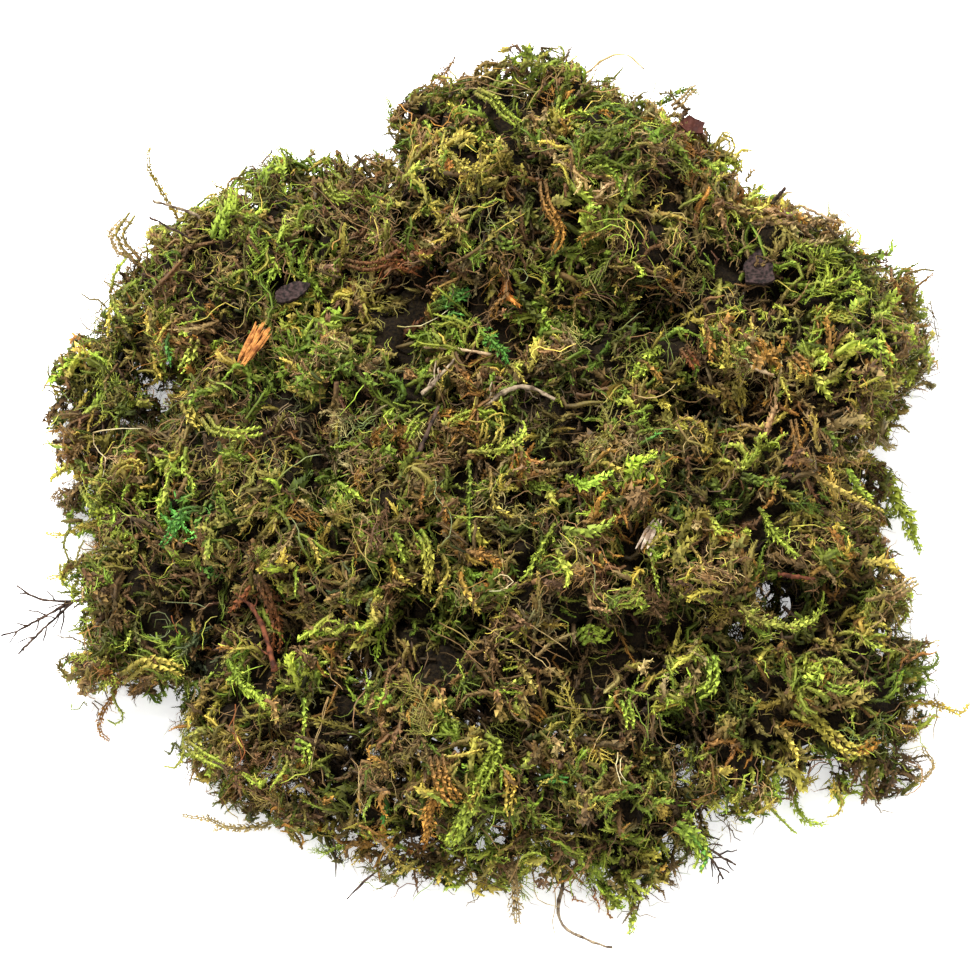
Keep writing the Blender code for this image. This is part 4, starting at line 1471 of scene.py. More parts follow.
@dataclass
class Sheaf:
    """Gathers meshes into one plain mesh with tints, shades and a map for baking."""

    name: str
    untinted: float = 0.1
    inset: float = 0.12
    parts: list[tuple[np.ndarray, ...]] = field(default_factory=list)
    finishes: list[bpy.types.Material] = field(default_factory=list)

    def add(self, mesh: bpy.types.Mesh, finish: bpy.types.Material) -> None:
        """Adds a mesh, which is used up.

        Args:
            mesh: The mesh.
            finish: The material of all of it.
        """
        if finish not in self.finishes:
            self.finishes.append(finish)
        total = len(mesh.vertices)
        points = read(mesh.vertices, "co", np.empty(total * 3, np.float32)).reshape(-1, 3)
        corners = read(mesh.loops, "vertex_index", np.empty(len(mesh.loops), np.int32))
        sizes = read(mesh.polygons, "loop_total", np.empty(len(mesh.polygons), np.int32))
        tint, shade = np.full(total * 3, self.untinted, np.float32), np.ones(total, np.float32)
        for label, key, values in (("tint", "vector", tint), ("shade", "value", shade)):
            if label in mesh.attributes:
                read(mesh.attributes[label].data, key, values)
        first = sum(len(part[0]) for part in self.parts)
        slots = np.full(len(sizes), self.finishes.index(finish), np.int32)
        self.parts.append((points, corners + first, sizes, slots, tint.reshape(-1, 3), shade))
        bpy.data.meshes.remove(mesh)

    def tied(self) -> bpy.types.Object:
        """Makes the piece.

        Returns:
            Its object, at the origin.
        """
        points, corners, sizes, slots, tints, shades = (np.concatenate(column) for column in zip(*self.parts))
        starts = np.concatenate([[0], np.cumsum(sizes)[:-1]]).astype(np.int32)
        mesh = bpy.data.meshes.new(self.name)
        for rows, total, key, values in (
            (mesh.vertices, len(points), "co", points.ravel()),
            (mesh.loops, len(corners), "vertex_index", corners),
            (mesh.polygons, len(sizes), "loop_start", starts),
        ):
            rows.add(total)
            rows.foreach_set(key, values)
        mesh.update(calc_edges=True)
        for finish in self.finishes:
            mesh.materials.append(finish)
        mesh.polygons.foreach_set("material_index", slots)
        carry(mesh, "tint", tints)
        carry(mesh, "shade", shades)
        self.lay_map(mesh, sizes, starts)
        mesh.shade_smooth()
        mesh.validate()
        return linked(self.name, mesh)

    def lay_map(self, mesh: bpy.types.Mesh, sizes: np.ndarray, starts: np.ndarray) -> None:
        """Gives every face a square of its own in the baking map.

        Args:
            mesh: The mesh.
            sizes: How many corners each face has.
            starts: The first corner of each face.
        """
        side = math.ceil(math.sqrt(len(sizes)))
        face = np.repeat(np.arange(len(sizes)), sizes)
        turn = np.arange(int(sizes.sum())) - starts[face]
        low, high = self.inset, 1 - self.inset
        across = np.array([low, high, high, low])
        down = np.array([low, low, high, high])
        turn = np.where((sizes[face] == 3) & (turn == 2), 3, turn) % 4
        uv = np.stack([(face % side + across[turn]) / side, (face // side + down[turn]) / side], 1)
        layer = mesh.uv_layers.new(name=BAKE_MAP)
        layer.data.foreach_set("uv", uv.astype(np.float32).ravel())


def merged(solid: bpy.types.Object) -> bmesh.types.BMesh:
    """A copy of a CAD solid with its loose triangles joined."""
    shell = bmesh.new()
    shell.from_mesh(solid.data)
    bmesh.ops.remove_doubles(shell, verts=shell.verts, dist=0.02 * MM)
    return shell


# Corners of the heap's outline in the photograph, in pixels.
OUTLINE = (
    (505, 50), (545, 50), (585, 64), (622, 92), (655, 100), (690, 94), (700, 138), (738, 146), (775, 188),
    (812, 204), (845, 214), (868, 240), (905, 254), (930, 275), (936, 315), (932, 352), (924, 385),
    (902, 405), (892, 440), (898, 480), (915, 505), (905, 530), (892, 545), (898, 580), (916, 595),
    (914, 625), (930, 655), (932, 695), (944, 712), (926, 735), (915, 768), (905, 795), (870, 800),
    (830, 802), (790, 806), (760, 838), (715, 852), (692, 872), (650, 885), (622, 912), (590, 900),
    (560, 890), (515, 882), (470, 888), (430, 890), (395, 886), (365, 872), (345, 850), (300, 842),
    (250, 826), (216, 798), (190, 765), (182, 735), (176, 695), (130, 690), (82, 692), (68, 660), (92, 630),
    (80, 590), (66, 560), (72, 510), (56, 470), (48, 430), (42, 400), (50, 365), (80, 338), (106, 316),
    (113, 287), (120, 258), (146, 252), (174, 226), (192, 204), (225, 182), (262, 152), (300, 148),
    (345, 150), (382, 158), (394, 135), (402, 95), (430, 80), (460, 68), (480, 62),
)

# The pixel that every ray from beside the heap turns to.
HEAP_MIDDLE = (490, 480)

# Bulges: column and row of the middle in pixels, and radius in millimetres.
SWELLS = (
    (285, 174, 7), (325, 174, 7), (365, 178, 7), (428, 98, 7), (486, 76, 6), (826, 228, 6), (872, 258, 6),
    (905, 280, 7), (912, 318, 6), (910, 358, 6), (876, 480, 6), (895, 602, 6), (916, 640, 5), (922, 716, 6),
    (858, 786, 6), (893, 782, 7), (400, 868, 6), (436, 870, 6), (466, 870, 6), (220, 786, 6), (252, 812, 6),
    (88, 672, 7), (74, 574, 5), (60, 415, 7), (64, 458, 7), (122, 290, 6), (130, 258, 5), (608, 888, 5),
    (720, 838, 5),
)

# Hollows: column and row in pixels, radius and depth in millimetres.
DENTS = (
    (538, 876, 4.6, 30), (449, 246, 3.2, 70), (428, 226, 3.6, 50), (152, 392, 5, 30), (132, 420, 4, 30),
    (160, 420, 4.6, 30), (184, 420, 2.6, 30), (88, 540, 4.6, 30), (782, 594, 8.5, 13), (760, 596, 5, 16),
    (737, 631, 4.4, 60), (662, 408, 5, 14), (690, 411, 5.5, 16), (701, 455, 4, 13), (561, 752, 3.2, 50),
    (566, 790, 3.2, 40), (376, 753, 4.2, 40), (399, 772, 3, 40), (348, 665, 3.4, 30), (456, 722, 2.8, 40),
    (497, 829, 3, 30), (544, 825, 3, 30), (678, 737, 6, 18), (686, 775, 4, 40), (644, 310, 4.6, 14),
    (481, 569, 4, 12), (527, 499, 4.6, 12), (466, 402, 4, 10), (404, 448, 4, 10), (432, 446, 3.4, 9),
    (393, 593, 2.6, 30), (467, 616, 2.6, 30), (347, 646, 2.4, 30), (857, 438, 3.4, 40), (880, 455, 3, 40),
    (905, 630, 3.6, 30), (270, 770, 3.6, 30), (300, 790, 3.4, 30), (240, 762, 3, 30), (335, 830, 3, 30),
    (720, 810, 3.4, 30), (820, 775, 3.4, 30), (888, 270, 3, 30), (394, 152, 3, 30), (670, 116, 3, 30),
    (300, 560, 4, 10), (560, 480, 3.6, 9),
)


def smooth(corners: np.ndarray, count: int, steps: int = 12) -> np.ndarray:
    """Points spread evenly along a curve through some corners.

    Args:
        corners: The corners, one to a row.
        count: How many points.
        steps: How many parts the curve is cut into from corner to corner, to measure it.

    Returns:
        The points.
    """
    padded = np.concatenate([2 * corners[:1] - corners[1:2], corners, 2 * corners[-1:] - corners[-2:-1]])
    found = []
    for before, start, end, after in zip(padded, padded[1:], padded[2:], padded[3:]):
        t = np.linspace(0, 1, steps, endpoint=False)[:, None]
        found.append(0.5 * (2 * start + (end - before) * t + (2 * before - 5 * start + 4 * end - after) * t**2
                            + (3 * start - before - 3 * end + after) * t**3))
    fine = np.concatenate([*found, corners[-1:]])
    length = np.concatenate([[0], np.cumsum(np.linalg.norm(np.diff(fine, axis=0), axis=1))])
    at = np.linspace(0, length[-1], count)
    return np.stack([np.interp(at, length, column) for column in fine.T], -1)


@dataclass(frozen=True)
class HandWork:
    """Makes the shoots and threads that are laid along given paths, and their side shoots."""

    knobs: float = 0.16
    crinkle: float = 0.10 * MM
    leaf_shape: tuple[float, float, float] = (0.8, 0.35, 0.35)
    leaf_gap: float = 0.42 * MM
    blend_power: float = 0.7
    shade_spread: float = 0.08
    palest: float = 0.9
    plump_from: float = 0.12 * MM
    barb_points: int = 5
    barb_from: float = 0.15
    barb_span: float = 0.8
    barb_jitter: float = 0.6
    barb_lift: float = 1.5
    barb_ahead: float = 0.75
    barb_least: float = 0.6
    barb_taper: tuple[float, float] = (1.15, 0.6)
    barb_bend: float = 0.3
    barb_shake: float = 0.15 * MM
    barb_stems: tuple[float, float] = (0.3 * MM, 0.18 * MM)
    barb_tip: float = 0.5
    barb_leaf: float = 0.75
    floor: float = 0.6 * MM

    def strand(
        self, path: np.ndarray, stem: tuple[float, float], look: "Trace | Sprig", leafy: bool,
        dice: np.random.Generator,
    ) -> Strands:
        """One listed run as a strand.

        Args:
            path: Its points.
            stem: Its radii at both ends, in metres.
            look: The trace or sprig that it belongs to.
            leafy: Whether it carries leaves.
            dice: The random numbers.

        Returns:
            The strand.
        """
        count = len(path)
        part = np.linspace(0, 1, count)
        radius = stem[0] + (stem[1] - stem[0]) * part
        if not leafy:
            radius = radius * (1 + self.knobs * dice.normal(size=count))
            path = path + dice.normal(0, self.crinkle, path.shape)
        base, swell, taper = self.leaf_shape
        leaf = look.leaf * MM * (base + swell * np.sin(math.pi * part) - taper * part**4)
        tint = rgb(look.root) + (rgb(look.tip) - rgb(look.root)) * part[:, None] ** self.blend_power
        tint = tint * (1 + dice.normal(0, self.shade_spread, (count, 1)))
        singles = (float(leafy), GOLDEN_ANGLE, float(radius[0] > self.plump_from), self.leaf_gap)
        rows = (path, radius, leaf, np.clip(tint, 0, self.palest), *singles)
        return Strands(*(np.array(row)[None] for row in rows))

    def barbs(
        self, path: np.ndarray, look: "Trace | Sprig", reach: float, leafy: bool, dice: np.random.Generator
    ) -> list[Strands]:
        """Side shoots or twiglets along a run.

        Args:
            path: The run's points.
            look: The trace or sprig that it belongs to.
            reach: Their greatest length, in metres.
            leafy: Whether they carry leaves.
            dice: The random numbers.

        Returns:
            One strand for each.
        """
        made = []
        steps = np.linspace(0, 1, self.barb_points)[:, None]
        count = look.barbs * (2 if leafy else 1)
        for index in range(count):
            part = self.barb_from + self.barb_span * (index + dice.uniform(0, self.barb_jitter)) / count
            spot = min(int(part * (len(path) - 1)), len(path) - 2)
            ahead = unit(path[spot + 1] - path[spot])
            side = unit(np.cross(ahead, unit(dice.normal(size=3) + np.array([0, 0, self.barb_lift]))))
            side = side * (1 if index % 2 else -1)
            way = unit(ahead * self.barb_ahead + side)
            longest, fall = self.barb_taper
            length = reach * dice.uniform(self.barb_least, 1.0) * (longest - fall * part)
            barb = path[spot] + steps * length * way + steps**2 * self.barb_bend * length * ahead
            barb = barb + dice.normal(0, self.barb_shake, barb.shape) * (steps > 0)
            barb[:, 2] = np.maximum(barb[:, 2], self.floor)
            thick = self.barb_stems[leafy]
            finer = replace(look, leaf=look.leaf * self.barb_leaf)
            made.append(self.strand(barb, (thick, thick * self.barb_tip), finer, leafy, dice))
        return made


HAND = HandWork()


@dataclass(frozen=True)
class Trace:
    """A shoot or thread that stands out in the photograph: the pixels that it passes.

    One with leaves of no length is a bare thread. Barbs are side branches, as on a comb.
    """

    root: Tint
    tip: Tint
    leaf: float
    pixels: tuple[tuple[int, int], ...]
    ply: int = 1
    barbs: int = 0


THREAD = 0.0
THIN = 1.0
PLUMP = 1.35
FAT = 1.7

TRACED = (
    (Tint.BROWN, Tint.LIME, (
        (PLUMP, 1, 10, 731, 594, 750, 615, 778, 625, 804, 625, 820, 612, 824, 592),
        (THIN, 1, 0, 111, 690, 119, 706, 123, 719, 115, 725, 109, 720),
    )),
    (Tint.BROWN, Tint.OLIVE, (
        (PLUMP, 2, 0, 139, 262, 128, 250, 120, 238, 124, 226, 133, 215),
        (THIN, 1, 0, 905, 275, 919, 270, 934, 270), (THREAD, 1, 0, 440, 622, 462, 634, 480, 650),
    )),
    (Tint.BROWN, Tint.ORANGE, (
        (PLUMP, 2, 0, 543, 182, 546, 203, 557, 221, 561, 238, 553, 251),
        (PLUMP, 1, 4, 466, 552, 488, 556, 503, 565), (PLUMP, 1, 0, 630, 498, 626, 512, 608, 524),
        (PLUMP, 3, 0, 791, 356, 799, 364, 806, 378), (THIN, 2, 0, 793, 420, 797, 445, 790, 466),
        (PLUMP, 3, 0, 436, 755, 440, 772, 446, 788, 457, 802), (THIN, 3, 0, 530, 708, 537, 712, 543, 718),
        (THIN, 1, 5, 352, 822, 368, 828, 384, 836, 398, 848),
        (THREAD, 1, 0, 918, 762, 923, 775, 918, 788, 905, 794),
    )),
    (Tint.BROWN, Tint.PALE, (
        (THREAD, 1, 0, 93, 434, 95, 447, 106, 458, 104, 478),
    )),
    (Tint.BROWN, Tint.SAGE, (
        (THREAD, 1, 0, 551, 551, 566, 547, 583, 555, 594, 568, 593, 592),
    )),
    (Tint.BROWN, Tint.TAN, (
        (THREAD, 1, 0, 184, 327, 174, 326, 170, 318, 176, 312, 184, 315),
        (THREAD, 1, 0, 108, 234, 103, 222, 105, 212, 112, 208),
        (THREAD, 1, 0, 450, 82, 480, 77, 509, 84, 535, 92),
        (THREAD, 1, 0, 585, 271, 594, 286, 601, 299, 614, 308),
        (THIN, 2, 3, 672, 108, 682, 102, 688, 94, 696, 88), (THIN, 1, 5, 297, 523, 288, 542, 266, 567),
        (THREAD, 1, 0, 500, 612, 532, 626, 566, 648),
        (THREAD, 1, 0, 702, 438, 692, 436, 685, 443, 684, 453),
        (THREAD, 1, 0, 631, 394, 650, 398, 666, 394, 675, 383), (THIN, 3, 0, 895, 594, 906, 586, 917, 580),
        (THREAD, 1, 0, 327, 697, 321, 722, 313, 747, 310, 770),
        (THREAD, 1, 0, 329, 698, 322, 724, 315, 748, 311, 768),
        (THREAD, 1, 0, 556, 905, 552, 918, 554, 930, 560, 941),
        (THREAD, 1, 0, 556, 705, 585, 709, 612, 707), (THREAD, 1, 0, 606, 717, 599, 738, 588, 755),
    )),
    (Tint.BROWN, Tint.YELLOW, (
        (PLUMP, 1, 0, 310, 538, 315, 550, 320, 564), (THIN, 2, 0, 478, 446, 484, 434, 486, 422),
        (PLUMP, 1, 0, 490, 467, 492, 490, 497, 510, 518, 517),
        (PLUMP, 1, 0, 809, 472, 837, 490, 865, 503, 882, 511), (THIN, 1, 0, 690, 546, 700, 560, 705, 582),
        (THIN, 1, 6, 381, 840, 394, 856, 406, 868, 423, 866),
    )),
    (Tint.DEEP, Tint.EMERALD, (
        (THIN, 2, 0, 202, 509, 186, 510, 176, 521, 171, 534, 161, 547),
        (PLUMP, 1, 0, 169, 334, 167, 346, 171, 366), (PLUMP, 1, 0, 381, 790, 387, 803, 383, 823),
        (THIN, 2, 0, 534, 781, 550, 778, 568, 780),
    )),
    (Tint.DEEP, Tint.GREEN, (
        (PLUMP, 2, 0, 497, 238, 507, 246, 518, 243), (THIN, 2, 4, 538, 570, 552, 564, 568, 574),
        (PLUMP, 2, 0, 740, 476, 763, 482, 786, 484),
    )),
    (Tint.DEEP, Tint.SAGE, (
        (THREAD, 1, 0, 509, 276, 516, 269, 526, 270, 529, 280, 518, 285),
        (THREAD, 1, 0, 148, 622, 154, 612, 166, 614, 170, 628, 160, 640, 150, 634),
        (THREAD, 1, 0, 154, 628, 158, 618, 168, 622, 166, 634, 156, 636),
        (THREAD, 1, 0, 160, 600, 176, 604, 192, 602, 206, 607),
    )),
    (Tint.GREEN, Tint.EMERALD, (
        (PLUMP, 1, 7, 479, 330, 492, 341, 503, 352, 509, 363),
        (FAT, 1, 0, 684, 828, 698, 842, 706, 858, 700, 868),
    )),
    (Tint.GREEN, Tint.LIME, (
        (FAT, 2, 0, 217, 238, 222, 220, 232, 205, 234, 190),
        (PLUMP, 2, 0, 262, 182, 270, 168, 284, 172, 280, 155),
        (THREAD, 1, 0, 596, 232, 612, 226, 626, 232, 634, 246, 630, 262),
        (THREAD, 1, 0, 606, 240, 618, 234, 628, 244, 624, 258),
        (FAT, 2, 0, 858, 350, 872, 345, 884, 356, 893, 364), (THIN, 1, 0, 297, 566, 296, 580, 295, 596),
        (FAT, 1, 0, 337, 483, 350, 490, 363, 500), (PLUMP, 1, 0, 396, 533, 401, 550, 406, 563),
        (PLUMP, 3, 0, 579, 640, 590, 632, 600, 636, 608, 628), (FAT, 1, 0, 847, 470, 857, 487, 873, 504),
        (FAT, 1, 3, 227, 660, 236, 673, 244, 687, 256, 694, 265, 708),
        (PLUMP, 1, 0, 304, 697, 305, 716, 304, 735), (PLUMP, 2, 0, 295, 743, 307, 748, 306, 764),
        (PLUMP, 2, 0, 625, 700, 629, 713, 630, 728), (THIN, 2, 0, 823, 682, 838, 690, 855, 688, 868, 682),
        (FAT, 2, 0, 709, 656, 714, 672, 712, 686, 699, 694),
        (FAT, 2, 0, 676, 825, 692, 836, 702, 852, 697, 870),
    )),
    (Tint.GREEN, Tint.YELLOW, (
        (PLUMP, 2, 0, 418, 531, 427, 547, 429, 569, 426, 592),
    )),
    (Tint.MID, Tint.EMERALD, (
        (PLUMP, 2, 3, 432, 308, 448, 301, 470, 292), (THIN, 2, 0, 451, 286, 458, 294, 468, 300),
        (THIN, 2, 0, 444, 322, 452, 316, 464, 318), (THREAD, 1, 0, 653, 430, 668, 429, 682, 431),
        (THIN, 1, 0, 638, 445, 650, 438, 662, 433),
    )),
    (Tint.MID, Tint.GREEN, (
        (PLUMP, 1, 0, 470, 460, 470, 486, 468, 510, 471, 540),
    )),
    (Tint.MID, Tint.LIME, (
        (THIN, 1, 0, 466, 234, 475, 214, 492, 201, 505, 201),
        (THREAD, 1, 0, 592, 223, 614, 220, 631, 221, 642, 236, 648, 249),
        (FAT, 2, 0, 882, 312, 890, 300, 898, 294), (PLUMP, 1, 0, 181, 471, 192, 481, 193, 492),
        (PLUMP, 2, 0, 427, 416, 414, 425, 407, 440), (PLUMP, 1, 3, 554, 524, 542, 547, 529, 571, 519, 581),
        (FAT, 1, 4, 658, 346, 645, 366, 633, 379), (PLUMP, 1, 6, 759, 507, 770, 529, 785, 545, 799, 556),
        (THIN, 1, 0, 652, 557, 655, 579, 660, 598),
        (FAT, 2, 0, 483, 737, 497, 746, 490, 764, 481, 783, 472, 803),
        (FAT, 2, 5, 476, 796, 466, 814, 458, 832, 449, 843), (THIN, 1, 0, 770, 808, 784, 822, 797, 834),
    )),
    (Tint.MID, Tint.OLIVE, (
        (THIN, 1, 0, 72, 528, 65, 542, 69, 560, 77, 565, 79, 552, 84, 540),
    )),
    (Tint.MID, Tint.SAGE, (
        (THREAD, 1, 0, 622, 328, 632, 319, 643, 311), (THREAD, 1, 0, 277, 480, 303, 460, 324, 454),
        (THREAD, 1, 0, 922, 681, 936, 684, 938, 694, 932, 700),
    )),
    (Tint.MID, Tint.YELLOW, (
        (FAT, 2, 0, 792, 708, 811, 718, 828, 733, 848, 748, 864, 749),
    )),
    (Tint.OLIVE, Tint.LIME, (
        (PLUMP, 1, 0, 111, 292, 115, 275, 125, 260), (PLUMP, 1, 0, 111, 295, 117, 308, 126, 323),
        (PLUMP, 2, 0, 477, 91, 494, 101, 505, 114, 518, 123),
        (PLUMP, 2, 0, 323, 182, 330, 192, 342, 198, 352, 194),
        (PLUMP, 2, 0, 204, 417, 217, 430, 238, 434, 262, 431),
        (FAT, 1, 0, 167, 469, 169, 490, 160, 503, 159, 519), (PLUMP, 1, 0, 80, 486, 87, 501, 93, 513),
        (PLUMP, 2, 0, 196, 339, 190, 356, 181, 370),
        (PLUMP, 1, 6, 468, 452, 488, 452, 509, 445, 525, 434, 523, 421),
        (PLUMP, 2, 4, 445, 428, 460, 418, 477, 411), (THIN, 2, 0, 735, 459, 741, 469, 750, 452),
        (PLUMP, 2, 0, 187, 743, 203, 756, 224, 766), (PLUMP, 1, 0, 836, 634, 856, 632, 874, 646, 892, 650),
        (THIN, 2, 0, 668, 656, 671, 666, 675, 674),
    )),
    (Tint.OLIVE, Tint.PALE, (
        (THREAD, 1, 0, 397, 327, 423, 325, 449, 310),
    )),
    (Tint.OLIVE, Tint.TAN, (
        (THREAD, 1, 0, 659, 221, 674, 213, 685, 216, 687, 228),
    )),
    (Tint.OLIVE, Tint.YELLOW, (
        (THREAD, 1, 0, 184, 325, 204, 320, 217, 307, 230, 304, 240, 310),
        (PLUMP, 1, 4, 453, 156, 466, 169, 479, 169, 490, 154), (PLUMP, 2, 0, 457, 146, 468, 138, 476, 142),
        (THREAD, 1, 0, 494, 234, 512, 221, 525, 214), (THREAD, 1, 0, 609, 197, 627, 190, 650, 173),
        (THREAD, 1, 0, 702, 316, 718, 314, 737, 307, 739, 316, 728, 326),
        (THIN, 1, 0, 655, 278, 654, 270, 664, 266, 668, 276),
        (THIN, 2, 0, 716, 152, 718, 142, 726, 136, 733, 145, 728, 156),
        (FAT, 2, 0, 186, 402, 191, 415, 202, 428), (PLUMP, 2, 0, 113, 476, 121, 466, 139, 463, 142, 474),
        (THIN, 1, 0, 512, 365, 519, 374, 527, 387), (THIN, 2, 0, 496, 444, 500, 430, 498, 416),
        (PLUMP, 1, 0, 443, 554, 449, 573, 439, 592), (THIN, 1, 6, 724, 374, 728, 358, 722, 342),
        (PLUMP, 2, 3, 733, 380, 740, 392, 742, 406), (THIN, 1, 3, 646, 549, 662, 536, 677, 531),
        (FAT, 2, 0, 123, 678, 144, 664, 164, 664, 183, 672), (PLUMP, 1, 0, 583, 714, 571, 730, 575, 751),
        (THIN, 1, 0, 837, 786, 842, 804, 834, 816, 826, 816),
    )),
    (Tint.ORANGE, Tint.ORANGE, (
        (PLUMP, 2, 0, 856, 750, 868, 748, 877, 739),
    )),
    (Tint.ORANGE, Tint.YELLOW, (
        (PLUMP, 1, 0, 390, 558, 397, 575, 413, 585), (FAT, 1, 0, 461, 572, 466, 590, 480, 614),
        (PLUMP, 2, 0, 503, 772, 511, 784, 509, 800, 510, 815),
    )),
    (Tint.RUST, Tint.BROWN, (
        (THREAD, 1, 0, 692, 801, 705, 795, 719, 789),
    )),
    (Tint.RUST, Tint.RUST, (
        (THREAD, 1, 0, 172, 616, 176, 628, 183, 639), (PLUMP, 1, 0, 250, 586, 241, 600, 229, 612),
        (THREAD, 1, 0, 236, 704, 236, 716, 229, 728, 240, 740, 244, 753, 231, 773),
    )),
    (Tint.SAGE, Tint.SAGE, (
        (THREAD, 1, 0, 436, 478, 436, 497, 449, 512, 451, 532, 440, 548),
    )),
    (Tint.TAN, Tint.PALE, (
        (THREAD, 1, 0, 94, 432, 115, 429, 141, 429),
        (THREAD, 1, 0, 493, 579, 502, 573, 512, 581, 502, 591, 489, 591),
        (THREAD, 1, 0, 618, 752, 616, 768, 622, 784), (THREAD, 1, 0, 622, 756, 620, 770, 626, 780),
    )),
    (Tint.UMBER, Tint.BROWN, (
        (THREAD, 1, 0, 446, 88, 476, 82, 505, 90, 540, 88),
        (THREAD, 1, 0, 310, 182, 332, 203, 353, 223, 378, 233),
        (THREAD, 1, 0, 350, 204, 372, 212, 396, 224),
        (THREAD, 1, 0, 488, 616, 520, 632, 548, 650, 572, 664),
        (THREAD, 1, 0, 429, 629, 450, 640, 466, 651, 484, 669),
        (THREAD, 1, 0, 672, 396, 692, 403, 710, 394),
    )),
    (Tint.UMBER, Tint.DEEP, (
        (THREAD, 1, 0, 926, 306, 937, 322, 939, 338),
    )),
    (Tint.UMBER, Tint.RUST, (
        (THREAD, 1, 0, 345, 264, 364, 263, 384, 264, 405, 271, 423, 277),
        (PLUMP, 2, 0, 345, 262, 366, 267, 392, 262, 420, 272), (THREAD, 1, 0, 383, 242, 384, 264, 373, 290),
        (PLUMP, 2, 0, 256, 575, 266, 592, 273, 612, 278, 634, 275, 652),
        (PLUMP, 2, 0, 683, 347, 690, 358, 697, 368),
        (THREAD, 1, 0, 238, 706, 234, 722, 236, 738, 242, 758, 236, 770),
    )),
    (Tint.UMBER, Tint.SAGE, (
        (THREAD, 1, 0, 652, 94, 657, 79, 653, 73, 648, 77),
    )),
    (Tint.UMBER, Tint.TAN, (
        (THREAD, 1, 0, 444, 95, 470, 88, 500, 94, 528, 99),
        (THREAD, 1, 0, 480, 624, 512, 642, 540, 660, 560, 676),
        (THREAD, 1, 0, 534, 880, 537, 896, 548, 904, 560, 906),
    )),
    (Tint.UMBER, Tint.UMBER, (
        (THREAD, 1, 0, 104, 333, 90, 330, 80, 320, 86, 310, 98, 312, 104, 322),
        (THREAD, 1, 0, 108, 326, 94, 316, 84, 326, 88, 334), (THREAD, 1, 0, 343, 192, 362, 207, 380, 226),
        (THREAD, 1, 0, 930, 300, 933, 318, 938, 342, 936, 352),
        (THREAD, 1, 0, 56, 425, 52, 440, 54, 464, 59, 481),
        (THREAD, 1, 0, 152, 692, 141, 691, 136, 697, 136, 707),
        (THREAD, 1, 0, 280, 765, 284, 785, 288, 806), (THREAD, 1, 0, 264, 790, 278, 788, 296, 802),
        (THREAD, 1, 0, 480, 882, 494, 886, 508, 890),
    )),
)

TRACES = tuple(
    Trace(root, tip, leaf, tuple(zip(run[::2], run[1::2])), ply, barbs)
    for root, tip, runs in TRACED
    for leaf, ply, barbs, *run in runs
)


@dataclass
class Traces:
    """Lays the traced shoots and threads on the heap."""

    heap: HeapField
    lift: float = 1.5 * MM
    thread: float = 0.21 * MM
    steepest: float = 0.7
    pitch: float = 7.0
    points: tuple[int, int] = (6, 26)
    ease_rounds: int = 2
    ease_step: float = 0.4 * MM
    leafy_stem: float = 0.5
    taper: float = 0.55
    ply_gap: float = 1.3 * MM
    ply_shake: float = 0.16 * MM
    barb_reach: float = 3.6 * MM
    floor_gap: float = 1.8 * MM
    room: float = 5.0 * MM
    seed: int = 33

    def path(self, trace: Trace) -> np.ndarray:
        """The points of a trace in space: it bridges hollows and stays off the floor.

        Pixels beside the heap keep the depth of the nearest pixel on it.

        Args:
            trace: The trace.

        Returns:
            Its points in metres.
        """
        view = self.heap.view
        corners = np.array(trace.pixels, float)
        if all(self.heap.struck(*corner, self.lift) is None for corner in corners):
            corners = np.vstack([self.heap.rim(*corners[0])[0], corners])
        length = np.linalg.norm(np.diff(corners, axis=0), axis=1).sum()
        pixels = smooth(corners, int(np.clip(length / self.pitch, *self.points)))
        eye, ahead = view.eye(), view.axes()[2]
        rays = np.array([view.ray(*pixel) for pixel in pixels])
        found = [self.heap.struck(*pixel, self.lift) for pixel in pixels]
        slant = rays @ ahead
        floor = (self.floor_gap - eye[2]) / rays[:, 2] * slant
        met = np.nonzero([along is not None for along in found])[0]
        depth = floor.copy()
        if len(met):
            depth = np.interp(np.arange(len(pixels)), met, [found[index] * slant[index] for index in met])
        most = self.steepest * length / (len(pixels) - 1) * view.pixel
        for order in (range(1, len(depth)), range(len(depth) - 2, -1, -1)):
            for index in order:
                before = depth[index - order.step]
                depth[index] = min(depth[index], before + most)
        for _ in range(self.ease_rounds):
            middle = (depth[:-2] + 2 * depth[1:-1] + depth[2:]) / 4
            depth[1:-1] = np.minimum(depth[1:-1] + self.ease_step, middle)
        depth = np.minimum(depth, floor)
        return eye + (depth / slant)[:, None] * rays

    def build(self) -> list[tuple[Strands, np.ndarray]]:
        """Lays every trace.

        Returns:
            The strands, and for each the number of the tuft that it lies on.
        """
        dice = np.random.default_rng(self.seed)
        low, high = (np.array(corner) for corner in CAD_BOX)
        low[2] = self.floor_gap + self.room
        laid = []
        for trace in TRACES:
            path = self.path(trace)
            owner = self.heap.owner(path[len(path) // 2][None])
            leafy = trace.leaf > 0
            made = []
            for ply in range(trace.ply):
                side = np.cross(unit(np.gradient(path, axis=0)), self.heap.view.axes()[2])
                apart = (ply - (trace.ply - 1) / 2) * self.ply_gap * (trace.leaf or 1.0)
                spot = path + apart * unit(side) + dice.normal(0, self.ply_shake, path.shape)
                thick = self.leafy_stem * trace.leaf * MM if leafy else self.thread
                made.append(HAND.strand(spot, (thick, thick * self.taper), trace, leafy, dice))
            if trace.barbs:
                made += HAND.barbs(path, trace, self.barb_reach, leafy, dice)
            for strands in made:
                kept = np.clip(strands.points, low - self.room, high + self.room)
                laid.append((replace(strands, points=kept), owner))
        return laid


